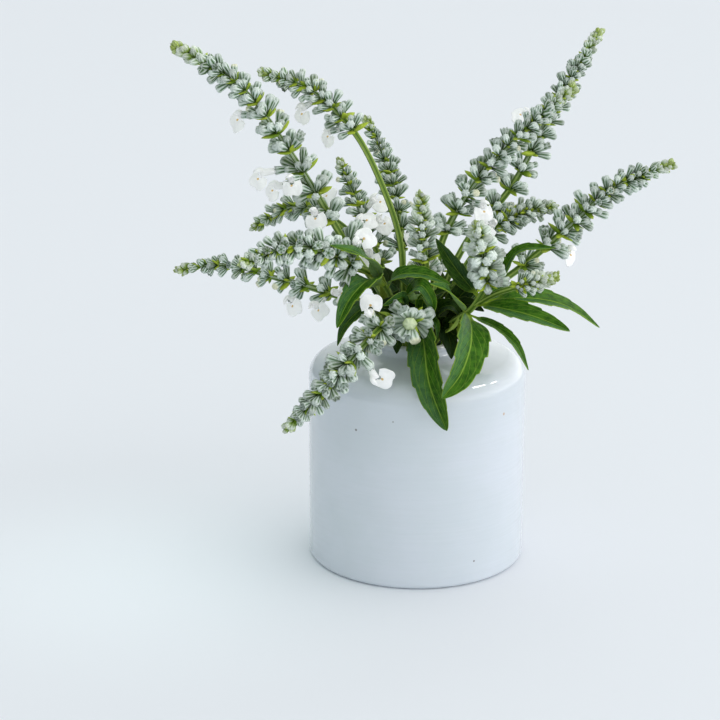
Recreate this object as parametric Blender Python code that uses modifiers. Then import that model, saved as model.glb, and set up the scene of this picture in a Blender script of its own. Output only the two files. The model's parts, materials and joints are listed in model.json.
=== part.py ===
# White mealycup sage: cut flowering sprigs standing in water in a glazed bottle vase.
# The frame stands on the table under the vase, +Z up, with the vase's axis on Z and the viewer at -Y.
# Lengths are written in millimetres and turned into Blender's metres by MM.

import math
import random

import bmesh
import bpy
from mathutils import Matrix, Vector

MM = 0.001
MERGE = 0.00001
CLEARANCE = 0.3

# Vase: a thrown cylinder with a round shoulder, a short neck and a rolled lip.
VASE_RADIUS = 40.0
VASE_HEIGHT = 84.0
WALL = 3.5
FLOOR_TOP = 5.0
SHOULDER_START = 69.2
SHOULDER_ROUND = 8.0
NECK_FOOT_HEIGHT = 79.8
NECK_RADIUS = 16.2
COLLAR_DROP = 3.2
MOUTH_RADIUS = 13.5
FOOT_RADIUS = 38.2
VASE_STEPS = 28

# Water
WATER_LEVEL = 54.0

# Stems: square in section, as in every sage, given by the half diagonal.
STEM_HALF_DIAGONAL = 1.3
STEM_FOOT_HEIGHT = FLOOR_TOP + 0.5
HOLE_HALF_DIAGONAL = 2.1
RIM_HEIGHT = 78.0
FREE_HEIGHT = WATER_LEVEL + 4.0
FOOT_SPREAD = 1.15
STEM_STEP = 10.0

# Flower spikes
RACHIS_RADIUS = 1.3
CORE_TIP_RADIUS = 0.65
CORE_REACH = 0.36
CORE_STEP = 7.5
CORE_SIDES = 4
CALYX_SIDES = 4
BUD_SIDES = 3
BUD_LENGTH = 6.4
CALYX_WIDTH = 0.5
CALYX_ROOT = 0.3
ROOT_GAP = 0.6
WHORL_CROWDING = 0.9
FAN_STEP = 58.0
LEAN_BELOW = 67.0
LEAN_TIP = 33.0
TURN_SCATTER = 0.12
LEAN_SCATTER = 6.0
ROOT_SCATTER = 0.6
SHORTEST = 0.93
LONGEST = 1.06
SEED = 7

# Flowers
FLOWER_LEAN = 62.0
LIP_DROP = 0.8
HOOD_RISE = 0.7
FLOWER_START = 0.55
FLOWER_TUBE = 6.0
TUBE_RADIUS = 1.2
THROAT_SHARE = 0.7
THROAT_BALL = 1.4
LIP_WIDTH = 8.0
LIP_DEPTH = 6.5
LIP_THICKNESS = 0.7
LIP_BALL = 3.4
HOOD_LENGTH = 3.8
HOOD_RADIUS = 0.9
HOOD_SINK = 0.8

# Leaves
LEAF_THICKNESS = 0.65
LEAF_STATION_STEP = 3.9
LEAF_FOLD = 0.16
LEAF_TOOTH = 0.11

# Each sprig: where its stem crosses the neck, then the points it passes above the vase, ending at
# the spike's tip. Then the spike's length, the number of whorls and of calyces in a whorl, the
# length of its largest calyx, and its open flowers as (whorl, the way the flower looks). A sprig
# with a low whorl has one at the foot of the spike, then bare stem for that many millimetres, and
# "bare" is the share of the spike where its axis shows between the whorls.
SPRIGS = {
    "tall_left": {
        "rim": (-8.4, 0.8),
        "way": [(-10.5, 1.5, 93), (-26.5, 3, 118.5), (-46.5, 0, 153), (-63, -3, 176), (-86.5, -5, 191)],
        "spike": 102, "whorls": 11, "ring": 6, "calyx": 10.2, "bare": 0.45,
        "flowers": [
            (0, (1, 0.3, 0)), (1, (-0.4, -1, 0)), (2, (-1, -0.6, 0)), (2, (-1, 0.6, -0.4)), (4, (-1, 0.5, -0.3)),
        ],
    },
    "arching_left": {
        "rim": (-2.8, 1.6),
        "way": [(-5, 3, 97), (-6.5, 5, 118.5), (-13, 6.5, 138.5), (-24, 8, 159), (-39, 9.5, 173), (-57, 11, 179)],
        "spike": 42, "whorls": 6, "ring": 5, "calyx": 7.6,
        "flowers": [(0, (-1, 0.5, -0.3)), (2, (-0.5, 0.2, -1))],
    },
    "back_left": {
        "rim": (-3.2, 7.2),
        "way": [(-5, 13, 93.5), (-5.5, 24, 116), (-11, 32, 141), (-19, 35, 158.5)],
        "spike": 53, "whorls": 6, "ring": 5, "calyx": 7.2,
        "flowers": [(0, (0.5, -1, 0))],
    },
    "back_centre": {
        "rim": (-6.0, 4.4),
        "way": [(-9, 11, 94.5), (-15, 16, 112), (-22.5, 21, 130.5), (-29, 24, 145)],
        "spike": 43, "whorls": 5, "ring": 5, "calyx": 7.4,
        "flowers": [(0, (-0.3, -1, 0)), (1, (0.8, -0.8, 0)), (2, (0.9, -0.5, 0.3))],
    },
    "low_back_left": {
        "rim": (-9.6, 4.4),
        "way": [(-13, 12, 98.5), (-28, 27, 119), (-45, 37, 124), (-62.5, 41.5, 114.5)],
        "spike": 37, "whorls": 5, "ring": 5, "calyx": 6.9,
        "flowers": [(0, (0, -0.5, 1))],
    },
    "low_left": {
        "rim": (-10.0, -2.8),
        "way": [(-14.5, -2.5, 93.5), (-32, 0, 100), (-52, 3, 105), (-70.5, 6.5, 109), (-89, 8, 106.5)],
        "spike": 69, "whorls": 8, "ring": 5, "calyx": 7.2,
        "flowers": [(0, (0, -0.8, -0.6)), (1, (-0.2, -0.5, -1)), (2, (0, -0.3, -1))],
    },
    "front_left": {
        "rim": (-6.8, -6.0),
        "way": [(-11.5, -9, 104.5), (-26.5, -22.5, 118), (-45, -38.5, 126.5), (-61.5, -53, 124)],
        "spike": 54, "whorls": 7, "ring": 5, "calyx": 9.0,
        "flowers": [(0, (0.6, -0.2, 1))],
    },
    "drooping": {
        "rim": (-3.6, -9.2),
        "way": [(-7, -17.5, 95), (-16, -38.5, 96), (-28, -49.5, 85), (-37.5, -52, 75), (-47, -52, 65)],
        "spike": 53, "whorls": 8, "ring": 5, "calyx": 7.8,
        "flowers": [(0, (-0.5, -0.6, 1)), (1, (0.9, -0.6, -0.3))],
    },
    "upright": {
        "rim": (-0.8, -5.6),
        "way": [(1.5, -7, 97.5), (2.5, -11, 112), (1, -13.5, 126.5), (0, -16, 141)],
        "spike": 32, "whorls": 5, "ring": 5, "calyx": 7.2,
        "flowers": [],
    },
    "leafy": {
        "rim": (3.8, -6.8),
        "way": [(10.5, -15, 92), (19, -26.5, 102.5), (23, -30.5, 112), (21.5, -33.5, 124), (18.5, -37, 135)],
        "spike": 28, "whorls": 5, "ring": 6, "calyx": 8.6,
        "flowers": [],
    },
    "tall_right": {
        "rim": (2.0, 0.0),
        "way": [(5.5, 4, 100), (9, 5, 118.5), (16, 3, 133.5), (34.5, 0, 157), (54.5, -3, 176)],
        "spike": 86, "whorls": 10, "ring": 5, "calyx": 8.0, "low_whorl": 14, "bare": 0.25,
        "flowers": [(0, (-0.1, -1, 0.8)), (2, (0.2, -0.5, -1))],
    },
    "back_right": {
        "rim": (2.0, 7.2),
        "way": [(9.5, 11, 98.5), (20, 19, 117), (34.5, 24, 133.5), (49.5, 29, 161.5), (67, 32, 191)],
        "spike": 78, "whorls": 9, "ring": 5, "calyx": 7.5,
        "flowers": [(3, (-1, 0.2, 0.3))],
    },
    "right": {
        "rim": (8.8, -0.8),
        "way": [(19, 5, 93), (39, 5, 109.5), (54.5, 3, 124), (70.5, 1.5, 139), (91, 0, 148)],
        "spike": 67, "whorls": 9, "ring": 5, "calyx": 7.8, "low_whorl": 10, "bare": 0.25,
        "flowers": [(1, (0.5, 0.5, -1))],
    },
    "short_right": {
        "rim": (6.0, 3.6),
        "way": [(11, 8, 95), (23, 12, 114.5), (30.5, 12, 123), (40, 10.5, 128), (50.5, 9, 130.5)],
        "spike": 27, "whorls": 5, "ring": 6, "calyx": 7.2,
        "flowers": [(0, (-0.3, -1, 0.4))],
    },
    "facing": {
        "rim": (0.6, -10.0),
        "way": [(0, -17.5, 97), (-2.5, -27, 97.5), (-4, -41.5, 100)],
        "spike": 16, "whorls": 4, "ring": 6, "calyx": 8.2,
        "flowers": [],
    },
}

# The young side shoot of the leafy sprig leaves its stem at the first point.
SIDE_SHOOT = {
    "parent": "leafy",
    "way": [(19, -26.5, 102.5), (26.5, -33.5, 109), (34.5, -38.5, 113), (46.5, -41.5, 117)],
    "spike": 15, "whorls": 4, "ring": 5, "calyx": 4.8,
    "flowers": [],
}

# Each leaf: the sprig it grows from, the points of its midrib from the stem to the tip, its
# width, and the side its upper face turns to.
LEAVES = {
    "leafy": [
        {"way": [(18.5, -25.5, 101), (21.5, -40, 95), (18.5, -49.5, 85.5), (8, -53, 77)], "width": 11, "face": (0.1, -1, 0.35)},
        {"way": [(21.5, -29, 106.5), (32, -44, 109), (41.5, -50.5, 107), (50.5, -52, 102.5)], "width": 8, "face": (0.1, -0.5, 1)},
        {"way": [(21, -28, 105), (37, -27, 107), (51, -24, 103), (64, -21, 93)], "width": 8, "face": (0.3, -0.4, 1)},
        {"way": [(17, -23, 98.5), (28, -32, 95), (33.5, -37.5, 90.5), (37.5, -40, 83)], "width": 5.5, "face": (0.6, -0.6, 0.8)},
        {"way": [(21, -28, 105.5), (13, -22.5, 114.5), (5.5, -21, 125.5)], "width": 6.5, "face": (-0.2, -1, 0.2)},
        {"way": [(17, -23, 99), (11, -34.5, 109.5), (3, -40, 113)], "width": 6.5, "face": (0, -0.6, 1)},
        {"way": [(20, -27, 103), (31, -21, 106.5), (40, -14.5, 105)], "width": 7, "face": (0, -0.5, 1)},
    ],
    "facing": [
        {"way": [(0, -15, 93.5), (2.5, -33.5, 90.5), (5, -48, 80), (9, -49.5, 64)], "width": 11, "face": (-0.1, -1, 0.25)},
        {"way": [(0, -14.5, 92), (2.5, -22.5, 105), (5, -26.5, 99)], "width": 6.5, "face": (0.3, -1, 0.3)},
    ],
    "front_left": [
        {"way": [(-11.3, -9, 104), (-8, -16, 110.5), (2, -24, 113), (10.8, -27, 110.2)], "width": 7, "face": (-0.1, -0.7, 1)},
        {"way": [(-12, -9.5, 105), (-18.9, -24, 110.5), (-25.2, -31, 105), (-29.1, -34, 96.5)], "width": 9.5, "face": (-0.5, -0.8, 0.6)},
        {"way": [(-12.5, -9.5, 105.5), (-16.1, -20, 115.3), (-23.8, -30, 123.2), (-31.4, -33, 126)], "width": 6.5, "face": (-0.3, -0.7, 0.8)},
        {"way": [(-8.4, -6.8, 94.5), (-6.5, -21, 104), (-13, -26.5, 102.5)], "width": 5.5, "face": (-0.2, -1, 0.2)},
    ],
    "low_left": [
        {"way": [(-13.5, -2.5, 93), (-21.5, -21, 99), (-26.5, -27, 95), (-29, -32, 89.5)], "width": 6.5, "face": (-0.4, -1, 0.4)},
    ],
    "right": [
        {"way": [(29, 5, 101.5), (37, -3, 117), (49, -8, 119)], "width": 5, "face": (0, -0.7, 1)},
    ],
}


def clear_scene():
    for obj in list(bpy.data.objects):
        bpy.data.objects.remove(obj, do_unlink=True)


def make_collection(name, hidden=False):
    made = bpy.data.collections.new(name)
    bpy.context.scene.collection.children.link(made)
    made.hide_render = hidden
    return made


def make_material(name, colour, roughness):
    made = bpy.data.materials.new(name)
    made.use_nodes = True
    shader = made.node_tree.nodes["Principled BSDF"]
    shader.inputs["Base Color"].default_value = (*colour, 1.0)
    shader.inputs["Roughness"].default_value = roughness
    made.diffuse_color = (*colour, 1.0)
    return made


def add_mesh(name, mesh, collection, matrix=None):
    obj = bpy.data.objects.new(name, mesh)
    collection.objects.link(obj)
    if matrix is not None:
        obj.matrix_world = matrix
    return obj


def smooth_way(points, step):
    """Points every step millimetres along the smooth curve that passes through the given points."""
    fixed = [Vector(p) for p in points]
    last = len(fixed) - 1
    spans = [(fixed[i + 1] - fixed[i]).length for i in range(last)]
    slopes = []
    for i in range(last + 1):
        if i == 0:
            slopes.append((fixed[1] - fixed[0]) / spans[0])
        elif i == last:
            slopes.append((fixed[last] - fixed[last - 1]) / spans[last - 1])
        else:
            before = (fixed[i] - fixed[i - 1]) / spans[i - 1]
            after = (fixed[i + 1] - fixed[i]) / spans[i]
            slopes.append((before * spans[i] + after * spans[i - 1]) / (spans[i] + spans[i - 1]))
    fine = []
    per_span = 40
    for i in range(last):
        for k in range(per_span):
            t = k / per_span
            start_weight = 2 * t**3 - 3 * t**2 + 1
            end_weight = 3 * t**2 - 2 * t**3
            start_pull = (t**3 - 2 * t**2 + t) * spans[i]
            end_pull = (t**3 - t**2) * spans[i]
            fine.append(
                fixed[i] * start_weight + fixed[i + 1] * end_weight
                + slopes[i] * start_pull + slopes[i + 1] * end_pull
            )
    fine.append(fixed[last])
    return resample(fine, step)


def resample(fine, step):
    """The same line cut into equal lengths near step."""
    reach = [0.0]
    for a, b in zip(fine, fine[1:]):
        reach.append(reach[-1] + (b - a).length)
    count = max(2, round(reach[-1] / step))
    found = []
    at = 0
    for k in range(count + 1):
        wanted = reach[-1] * k / count
        while at < len(fine) - 2 and reach[at + 1] < wanted:
            at += 1
        share = (wanted - reach[at]) / max(reach[at + 1] - reach[at], 1e-9)
        found.append(fine[at].lerp(fine[at + 1], min(1.0, share)))
    return found


def tube_mesh(name, points, radii, corners):
    """A filled tube through the points, which are in millimetres, as a welded mesh in metres."""
    curve = bpy.data.curves.new(name, "CURVE")
    curve.dimensions = "3D"
    curve.bevel_depth = 1.0
    curve.bevel_resolution = (corners - 4) // 2
    curve.use_fill_caps = True
    spline = curve.splines.new("POLY")
    spline.points.add(len(points) - 1)
    for place, point, radius in zip(spline.points, points, radii):
        place.co = (*(point * MM), 1.0)
        place.radius = radius * MM
    holder = bpy.data.objects.new(name, curve)
    bpy.context.scene.collection.objects.link(holder)
    bpy.context.view_layer.update()
    graph = bpy.context.evaluated_depsgraph_get()
    mesh = bpy.data.meshes.new_from_object(holder.evaluated_get(graph))
    shape = bmesh.new()
    shape.from_mesh(mesh)
    bmesh.ops.remove_doubles(shape, verts=shape.verts, dist=MERGE)
    bmesh.ops.recalc_face_normals(shape, faces=shape.faces)
    shape.to_mesh(mesh)
    shape.free()
    bpy.data.objects.remove(holder, do_unlink=True)
    bpy.data.curves.remove(curve)
    return mesh


def fuse(name, body_mesh, pieces, collection, material):
    """One object from a body and the objects in pieces, by a single Boolean union."""
    body = add_mesh(name + "_body", body_mesh, bpy.context.scene.collection)
    if pieces:
        joined = make_collection(name + "_pieces")
        for piece in pieces:
            for holder in list(piece.users_collection):
                holder.objects.unlink(piece)
            joined.objects.link(piece)
        union = body.modifiers.new("Join", "BOOLEAN")
        union.operation = "UNION"
        union.operand_type = "COLLECTION"
        union.collection = joined
        union.solver = "MANIFOLD"
    bpy.context.view_layer.update()
    graph = bpy.context.evaluated_depsgraph_get()
    mesh = bpy.data.meshes.new_from_object(body.evaluated_get(graph))
    bpy.data.objects.remove(body, do_unlink=True)
    if pieces:
        for piece in list(joined.objects):
            bpy.data.objects.remove(piece, do_unlink=True)
        bpy.data.collections.remove(joined)
    mesh.name = name
    mesh.materials.clear()
    mesh.materials.append(material)
    return add_mesh(name, mesh, collection)


# Vase and water


def arc(centre, radius, start_deg, end_deg, count):
    """Points (radius, height) along a round stretch of a turned profile."""
    turns = [math.radians(start_deg + (end_deg - start_deg) * k / count) for k in range(count + 1)]
    return [(centre[0] + radius * math.cos(a), centre[1] + radius * math.sin(a)) for a in turns]


def inner_wall():
    """The inside of the vase, from the middle of its floor up to where the neck begins."""
    inside = VASE_RADIUS - WALL
    corner = 5.0
    return (
        [(0.0, FLOOR_TOP)]
        + arc((inside - corner, FLOOR_TOP + corner), corner, -90, 0, 2)
        + arc((VASE_RADIUS - SHOULDER_ROUND, SHOULDER_START), SHOULDER_ROUND - WALL, 0, 75, 2)
        + [(MOUTH_RADIUS + 4.2, NECK_FOOT_HEIGHT - WALL)]
    )


def vase_profile():
    """Up the inside, over the rolled lip and down the outside to the middle of the foot."""
    lip_radius = (NECK_RADIUS - MOUTH_RADIUS) / 2 + 0.2
    lip_centre = (MOUTH_RADIUS + lip_radius, VASE_HEIGHT - lip_radius)
    neck = [(MOUTH_RADIUS, NECK_FOOT_HEIGHT)]
    lip = arc(lip_centre, lip_radius, 180, -20, 4)
    collar = [(NECK_RADIUS, VASE_HEIGHT - COLLAR_DROP), (NECK_RADIUS + 2.1, NECK_FOOT_HEIGHT)]
    shoulder = arc((VASE_RADIUS - SHOULDER_ROUND, SHOULDER_START), SHOULDER_ROUND, 82, 0, 6)
    foot = [(VASE_RADIUS, 2.0), (VASE_RADIUS - 0.7, 0.6), (FOOT_RADIUS, 0.0), (0.0, 0.0)]
    return inner_wall() + neck + lip + collar + shoulder + foot


def turned(name, profile, steps, collection, material):
    """A profile of (radius, height) points turned about Z."""
    mesh = bpy.data.meshes.new(name)
    line = [(radius * MM, 0.0, height * MM) for radius, height in profile]
    mesh.from_pydata(line, [(k, k + 1) for k in range(len(line) - 1)], [])
    obj = add_mesh(name, mesh, collection)
    screw = obj.modifiers.new("Turn", "SCREW")
    screw.axis = "Z"
    screw.angle = math.tau
    screw.steps = steps
    screw.render_steps = steps
    screw.use_merge_vertices = True
    screw.merge_threshold = MERGE
    screw.use_smooth_shade = False
    bpy.context.view_layer.update()
    graph = bpy.context.evaluated_depsgraph_get()
    solid = bpy.data.meshes.new_from_object(obj.evaluated_get(graph))
    bpy.data.objects.remove(obj, do_unlink=True)
    solid.name = name
    solid.materials.append(material)
    solid.shade_smooth()
    solid.set_sharp_from_angle(angle=math.radians(40))
    return add_mesh(name, solid, collection)


def make_vase(collection, material):
    return turned("vase", vase_profile(), VASE_STEPS, collection, material)


def make_water(ways, collection, cutters, material):
    """The water fills the vase to its level, with a plain hole where each stem stands."""
    inside = VASE_RADIUS - WALL - CLEARANCE
    corner = 5.0
    floor = FLOOR_TOP + CLEARANCE
    profile = (
        [(0.0, WATER_LEVEL), (inside, WATER_LEVEL)]
        + arc((inside - corner, floor + corner), corner, 0, -90, 2)
        + [(0.0, floor)]
    )
    water = turned("water", profile, VASE_STEPS, collection, material)
    for name, way in ways.items():
        foot, free = way[0], way[1]
        along = (free - foot).normalized()
        mesh = tube_mesh("hole_" + name, [foot - along * 3, free], [HOLE_HALF_DIAGONAL] * 2, 4)
        add_mesh("hole_" + name, mesh, cutters)
    cut = water.modifiers.new("Holes", "BOOLEAN")
    cut.operation = "DIFFERENCE"
    cut.operand_type = "COLLECTION"
    cut.collection = cutters
    cut.solver = "MANIFOLD"
    for cutter in cutters.objects:
        cutter.hide_render = True
        cutter.display_type = "WIRE"
    return water


# Room: every solid of another sprig that a new calyx must stay clear of, as balls.


class Room:
    def __init__(self):
        self.balls = []

    def add(self, owner, centre, radius):
        self.balls.append((owner, centre, radius))

    def near(self, owner, low, high):
        """The balls of other owners that reach into the box from low to high."""
        found = []
        for other, centre, radius in self.balls:
            if other == owner:
                continue
            if all(low[k] - radius < centre[k] < high[k] + radius for k in range(3)):
                found.append((centre, radius))
        return found

    def is_free(self, owner, balls):
        reach = max(radius for _, radius in balls) + CLEARANCE
        low = [min(c[k] for c, _ in balls) - reach for k in range(3)]
        high = [max(c[k] for c, _ in balls) + reach for k in range(3)]
        for centre, radius in self.near(owner, low, high):
            for own_centre, own_radius in balls:
                if (centre - own_centre).length < radius + own_radius + CLEARANCE:
                    return False
        return True


# Sprigs


def full_way(sprig):
    """The stem's line from its cut end, straight through the water, to the tip of its spike."""
    x, y = sprig["rim"]
    foot = Vector((x * FOOT_SPREAD, y * FOOT_SPREAD, STEM_FOOT_HEIGHT))
    rim = Vector((x, y, RIM_HEIGHT))
    free = foot.lerp(rim, (FREE_HEIGHT - STEM_FOOT_HEIGHT) / (RIM_HEIGHT - STEM_FOOT_HEIGHT))
    return [foot] + smooth_way([free, rim] + sprig["way"], 1.0)


def split_way(way, spike_length):
    """The line's stem and its spike, which starts spike_length before the tip."""
    length = 0.0
    at = len(way) - 1
    while length < spike_length:
        length += (way[at] - way[at - 1]).length
        at -= 1
    return way[: at + 1], way[at:]


def shortened(line, gap):
    """The same line, its last point drawn back by the gap."""
    return line[:-1] + [line[-1] - (line[-1] - line[-2]).normalized() * gap]


def make_stem(name, way, shoots, leaves, room, collection, material):
    """A square stem from its cut end to its spike, with its side shoots and leaves grown on."""
    line = shortened([way[0]] + resample(way[1:], STEM_STEP), CLEARANCE)
    half = STEM_HALF_DIAGONAL
    radii = [half * (1.0 - 0.15 * k / len(line)) for k in range(len(line))]
    body = tube_mesh(name, line, radii, 4)
    pieces = []
    for k, shoot_way in enumerate(shoots):
        shoot = shortened(resample(shoot_way, STEM_STEP), CLEARANCE)
        mesh = tube_mesh(f"{name}_shoot_{k}", shoot, [half * 0.8] * len(shoot), 4)
        pieces.append(add_mesh(f"{name}_shoot_{k}", mesh, bpy.context.scene.collection))
    for k, leaf in enumerate(leaves):
        pieces.append(make_leaf(f"{name}_leaf_{k}", name, leaf, room))
    return fuse(name, body, pieces, collection, material)


def leaf_width(share):
    """A lance shape: a narrow stalk, widest a third of the way along, then a long fine tip."""
    stalk = 0.16
    if share < stalk:
        return 0.15 + 0.1 * (share / stalk)
    along = (share - stalk) / (1.0 - stalk)
    return 0.25 * (1 - along) ** 2 + math.sin(math.pi * along**0.72) ** 0.8 * 0.9 + 0.03


def leaf_frame(way, k, face):
    """The directions across and out of the blade at one station."""
    ahead = way[min(k + 1, len(way) - 1)] - way[max(k - 1, 0)]
    ahead.normalize()
    up = Vector(face)
    up = (up - ahead * up.dot(ahead)).normalized()
    return ahead.cross(up), up


def make_leaf(name, owner, leaf, room):
    """A toothed blade, folded a little along its midrib, as a thin closed solid."""
    way = smooth_way(leaf["way"], LEAF_STATION_STEP)
    last = len(way) - 1
    shape = bmesh.new()
    rows = []
    for k, point in enumerate(way):
        share = k / last
        across, up = leaf_frame(way, k, leaf["face"])
        half = leaf["width"] / 2 * leaf_width(share)
        if 1 < k < last - 1:
            half *= 1 + LEAF_TOOTH * (1 if k % 2 else -1)
        lift = up * half * LEAF_FOLD * 2
        row = [point - across * half + lift, point, point + across * half + lift]
        rows.append([shape.verts.new(p * MM) for p in row])
        for place in (row[0], point, row[2]):
            room.add(owner, place, 0.7)
        room.add(owner, (row[0] + point) / 2, half / 3 + 0.3)
        room.add(owner, (row[2] + point) / 2, half / 3 + 0.3)
    for low, high in zip(rows, rows[1:]):
        for k in range(2):
            shape.faces.new((low[k], low[k + 1], high[k + 1], high[k]))
    bmesh.ops.triangulate(shape, faces=shape.faces)
    mesh = bpy.data.meshes.new(name)
    shape.to_mesh(mesh)
    shape.free()
    sheet = add_mesh(name + "_sheet", mesh, bpy.context.scene.collection)
    wall = sheet.modifiers.new("Thickness", "SOLIDIFY")
    wall.thickness = LEAF_THICKNESS * MM
    wall.offset = 0.0
    bpy.context.view_layer.update()
    graph = bpy.context.evaluated_depsgraph_get()
    solid = bpy.data.meshes.new_from_object(sheet.evaluated_get(graph))
    bpy.data.objects.remove(sheet, do_unlink=True)
    return add_mesh(name, solid, bpy.context.scene.collection)


def calyx_template(sides):
    """A club one unit long on Z: a narrow root, widest near its end, and a blunt point."""
    shape = bmesh.new()
    widest = 0.74
    bmesh.ops.create_cone(
        shape, cap_ends=True, segments=sides, radius1=CALYX_ROOT, radius2=1.0, depth=widest,
        matrix=Matrix.Translation((0, 0, widest / 2)),
    )
    top = max((f for f in shape.faces), key=lambda f: f.calc_center_median().z)
    poked = bmesh.ops.poke(shape, faces=[top])
    for vert in poked["verts"]:
        vert.co.z = 1.0
    mesh = bpy.data.meshes.new("calyx")
    shape.to_mesh(mesh)
    shape.free()
    return mesh


def lip_template():
    """The flower's broad lower lip: a thin six-sided plate, one unit across, in the X-Y plane."""
    shape = bmesh.new()
    bmesh.ops.create_cone(shape, cap_ends=True, segments=6, radius1=0.5, radius2=0.5, depth=1.0)
    mesh = bpy.data.meshes.new("lip")
    shape.to_mesh(mesh)
    shape.free()
    return mesh


def whorl_places(sprig, length):
    """Distances up the spike of its whorls, which stand closer together towards the tip."""
    low = sprig.get("low_whorl", 0.0)
    count = sprig["whorls"] - (1 if low else 0)
    steps = [WHORL_CROWDING**k for k in range(count)]
    unit = (length - low) / (sum(steps) + 0.35 * steps[0])
    found = [1.2] if low else []
    at = low + 0.35 * unit
    for step in steps:
        found.append(at)
        at += step * unit
    return found


def point_at(line, distance):
    """The point and direction at a distance along a line cut every millimetre."""
    k = min(int(distance), len(line) - 2)
    return line[k].lerp(line[k + 1], distance - k), (line[k + 1] - line[k]).normalized()


def calyx_size(share, largest):
    """A calyx shrinks slowly up the spike, then fast towards the tip."""
    return largest * (1.0 - 0.16 * share - 0.5 * share**3)


def core_radius(share, sprig):
    """The core is the bare axis where the whorls stand apart, and fuller where they crowd."""
    bare = sprig.get("bare", 0.12)
    full = calyx_size(share, sprig["calyx"]) * CORE_REACH
    crowded = min(1.0, max(0.0, (share - bare) / 0.25))
    taper = CORE_TIP_RADIUS + (full - CORE_TIP_RADIUS) * min(1.0, (1.0 - share) * 5)
    return RACHIS_RADIUS + (taper - RACHIS_RADIUS) * crowded


def calyx_lean(share):
    """Degrees between a calyx and the spike's axis: spread wide below, closed up at the tip."""
    return LEAN_BELOW + (LEAN_TIP - LEAN_BELOW) * share**2


def fan_angles(count, whorl):
    """A whorl is two opposite fans, and each whorl stands at a right angle to the last."""
    first = (count + 1) // 2
    found = []
    for fan, size in enumerate((first, count - first)):
        for k in range(size):
            found.append(math.radians(180 * fan + 90 * whorl + FAN_STEP * (k - (size - 1) / 2)))
    return found


def plan_spike(name, line, sprig):
    """Every calyx of a spike as (root, direction, spike's direction, length, has a flower)."""
    even = resample(line, 1.0)
    chance = random.Random(f"{name} {SEED}")
    planned = []
    for whorl, distance in enumerate(whorl_places(sprig, len(even) - 1.0)):
        centre, ahead = point_at(even, distance)
        share = distance / (len(even) - 1)
        side = ahead.cross(Vector((0.2, 0.1, 1.0))).normalized()
        other = ahead.cross(side)
        size = calyx_size(share, sprig["calyx"])
        row = []
        for angle in fan_angles(sprig["ring"], whorl):
            turn = angle + chance.uniform(-TURN_SCATTER, TURN_SCATTER)
            lean = math.radians(calyx_lean(share) + chance.uniform(-LEAN_SCATTER, LEAN_SCATTER))
            outward = side * math.cos(turn) + other * math.sin(turn)
            direction = ahead * math.cos(lean) + outward * math.sin(lean)
            root = centre + outward * ROOT_GAP + ahead * chance.uniform(-ROOT_SCATTER, ROOT_SCATTER)
            row.append([root, direction, ahead, size * chance.uniform(SHORTEST, LONGEST), False])
        for _, looks in [flower for flower in sprig["flowers"] if flower[0] == whorl]:
            outward = Vector(looks)
            outward = (outward - ahead * outward.dot(ahead)).normalized()
            lean = math.radians(FLOWER_LEAN)
            chosen = max(row, key=lambda calyx: calyx[1].dot(outward))
            chosen[0] = centre + outward * ROOT_GAP
            chosen[1] = ahead * math.cos(lean) + outward * math.sin(lean)
            chosen[4] = True
        planned += row
    return planned


def calyx_balls(root, direction, length):
    radius = length * CALYX_WIDTH / 2
    return [(root + direction * length * 0.5, radius * 0.9), (root + direction * length * 0.75, radius)]


def flower_parts(root, direction, ahead, length):
    """Where a flower's throat is, the way its lower lip hangs and the way its hood stands."""
    tipward = (ahead - direction * ahead.dot(direction)).normalized()
    throat = root + direction * (length * FLOWER_START + FLOWER_TUBE * THROAT_SHARE)
    lip_way = (direction * 0.6 - tipward * LIP_DROP).normalized()
    hood_way = (direction + tipward * HOOD_RISE).normalized()
    return throat, lip_way, hood_way


def flower_balls(root, direction, ahead, length):
    throat, lip_way, hood_way = flower_parts(root, direction, ahead, length)
    lip = (throat + lip_way * LIP_DEPTH * 0.4, LIP_BALL)
    hood = (throat + hood_way * HOOD_LENGTH / 2, HOOD_RADIUS)
    return [lip, (throat, THROAT_BALL), hood]


def place_matrix(root, direction, radius, length):
    turn = direction.to_track_quat("Z", "Y").to_matrix().to_4x4()
    scale = Matrix.Diagonal((radius * MM, radius * MM, length * MM, 1.0))
    return Matrix.Translation(root * MM) @ turn @ scale


def make_spike(name, line, sprig, planned, room, templates, collection, material):
    """The flower head: a slim core with whorls of calyces, and a flower at some of them."""
    calyx_mesh, bud_mesh, lip_mesh = templates
    cut = resample(line, CORE_STEP)
    cut[0] = cut[0] + (cut[1] - cut[0]).normalized() * CLEARANCE
    radii = [core_radius(k / (len(cut) - 1), sprig) for k in range(len(cut))]
    body = tube_mesh(name, cut, radii, CORE_SIDES)
    pieces = []
    for root, direction, ahead, length, has_flower in planned:
        balls = calyx_balls(root, direction, length)
        if not has_flower and not room.is_free(name, balls):
            continue
        for ball in balls:
            room.add(name, *ball)
        matrix = place_matrix(root, direction, length * CALYX_WIDTH / 2, length)
        shape = calyx_mesh if length > BUD_LENGTH else bud_mesh
        pieces.append(add_mesh("calyx", shape, bpy.context.scene.collection, matrix))
        if has_flower:
            pieces += make_flower(root, direction, ahead, length, calyx_mesh, lip_mesh)
    return fuse(name, body, pieces, collection, material)


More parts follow.
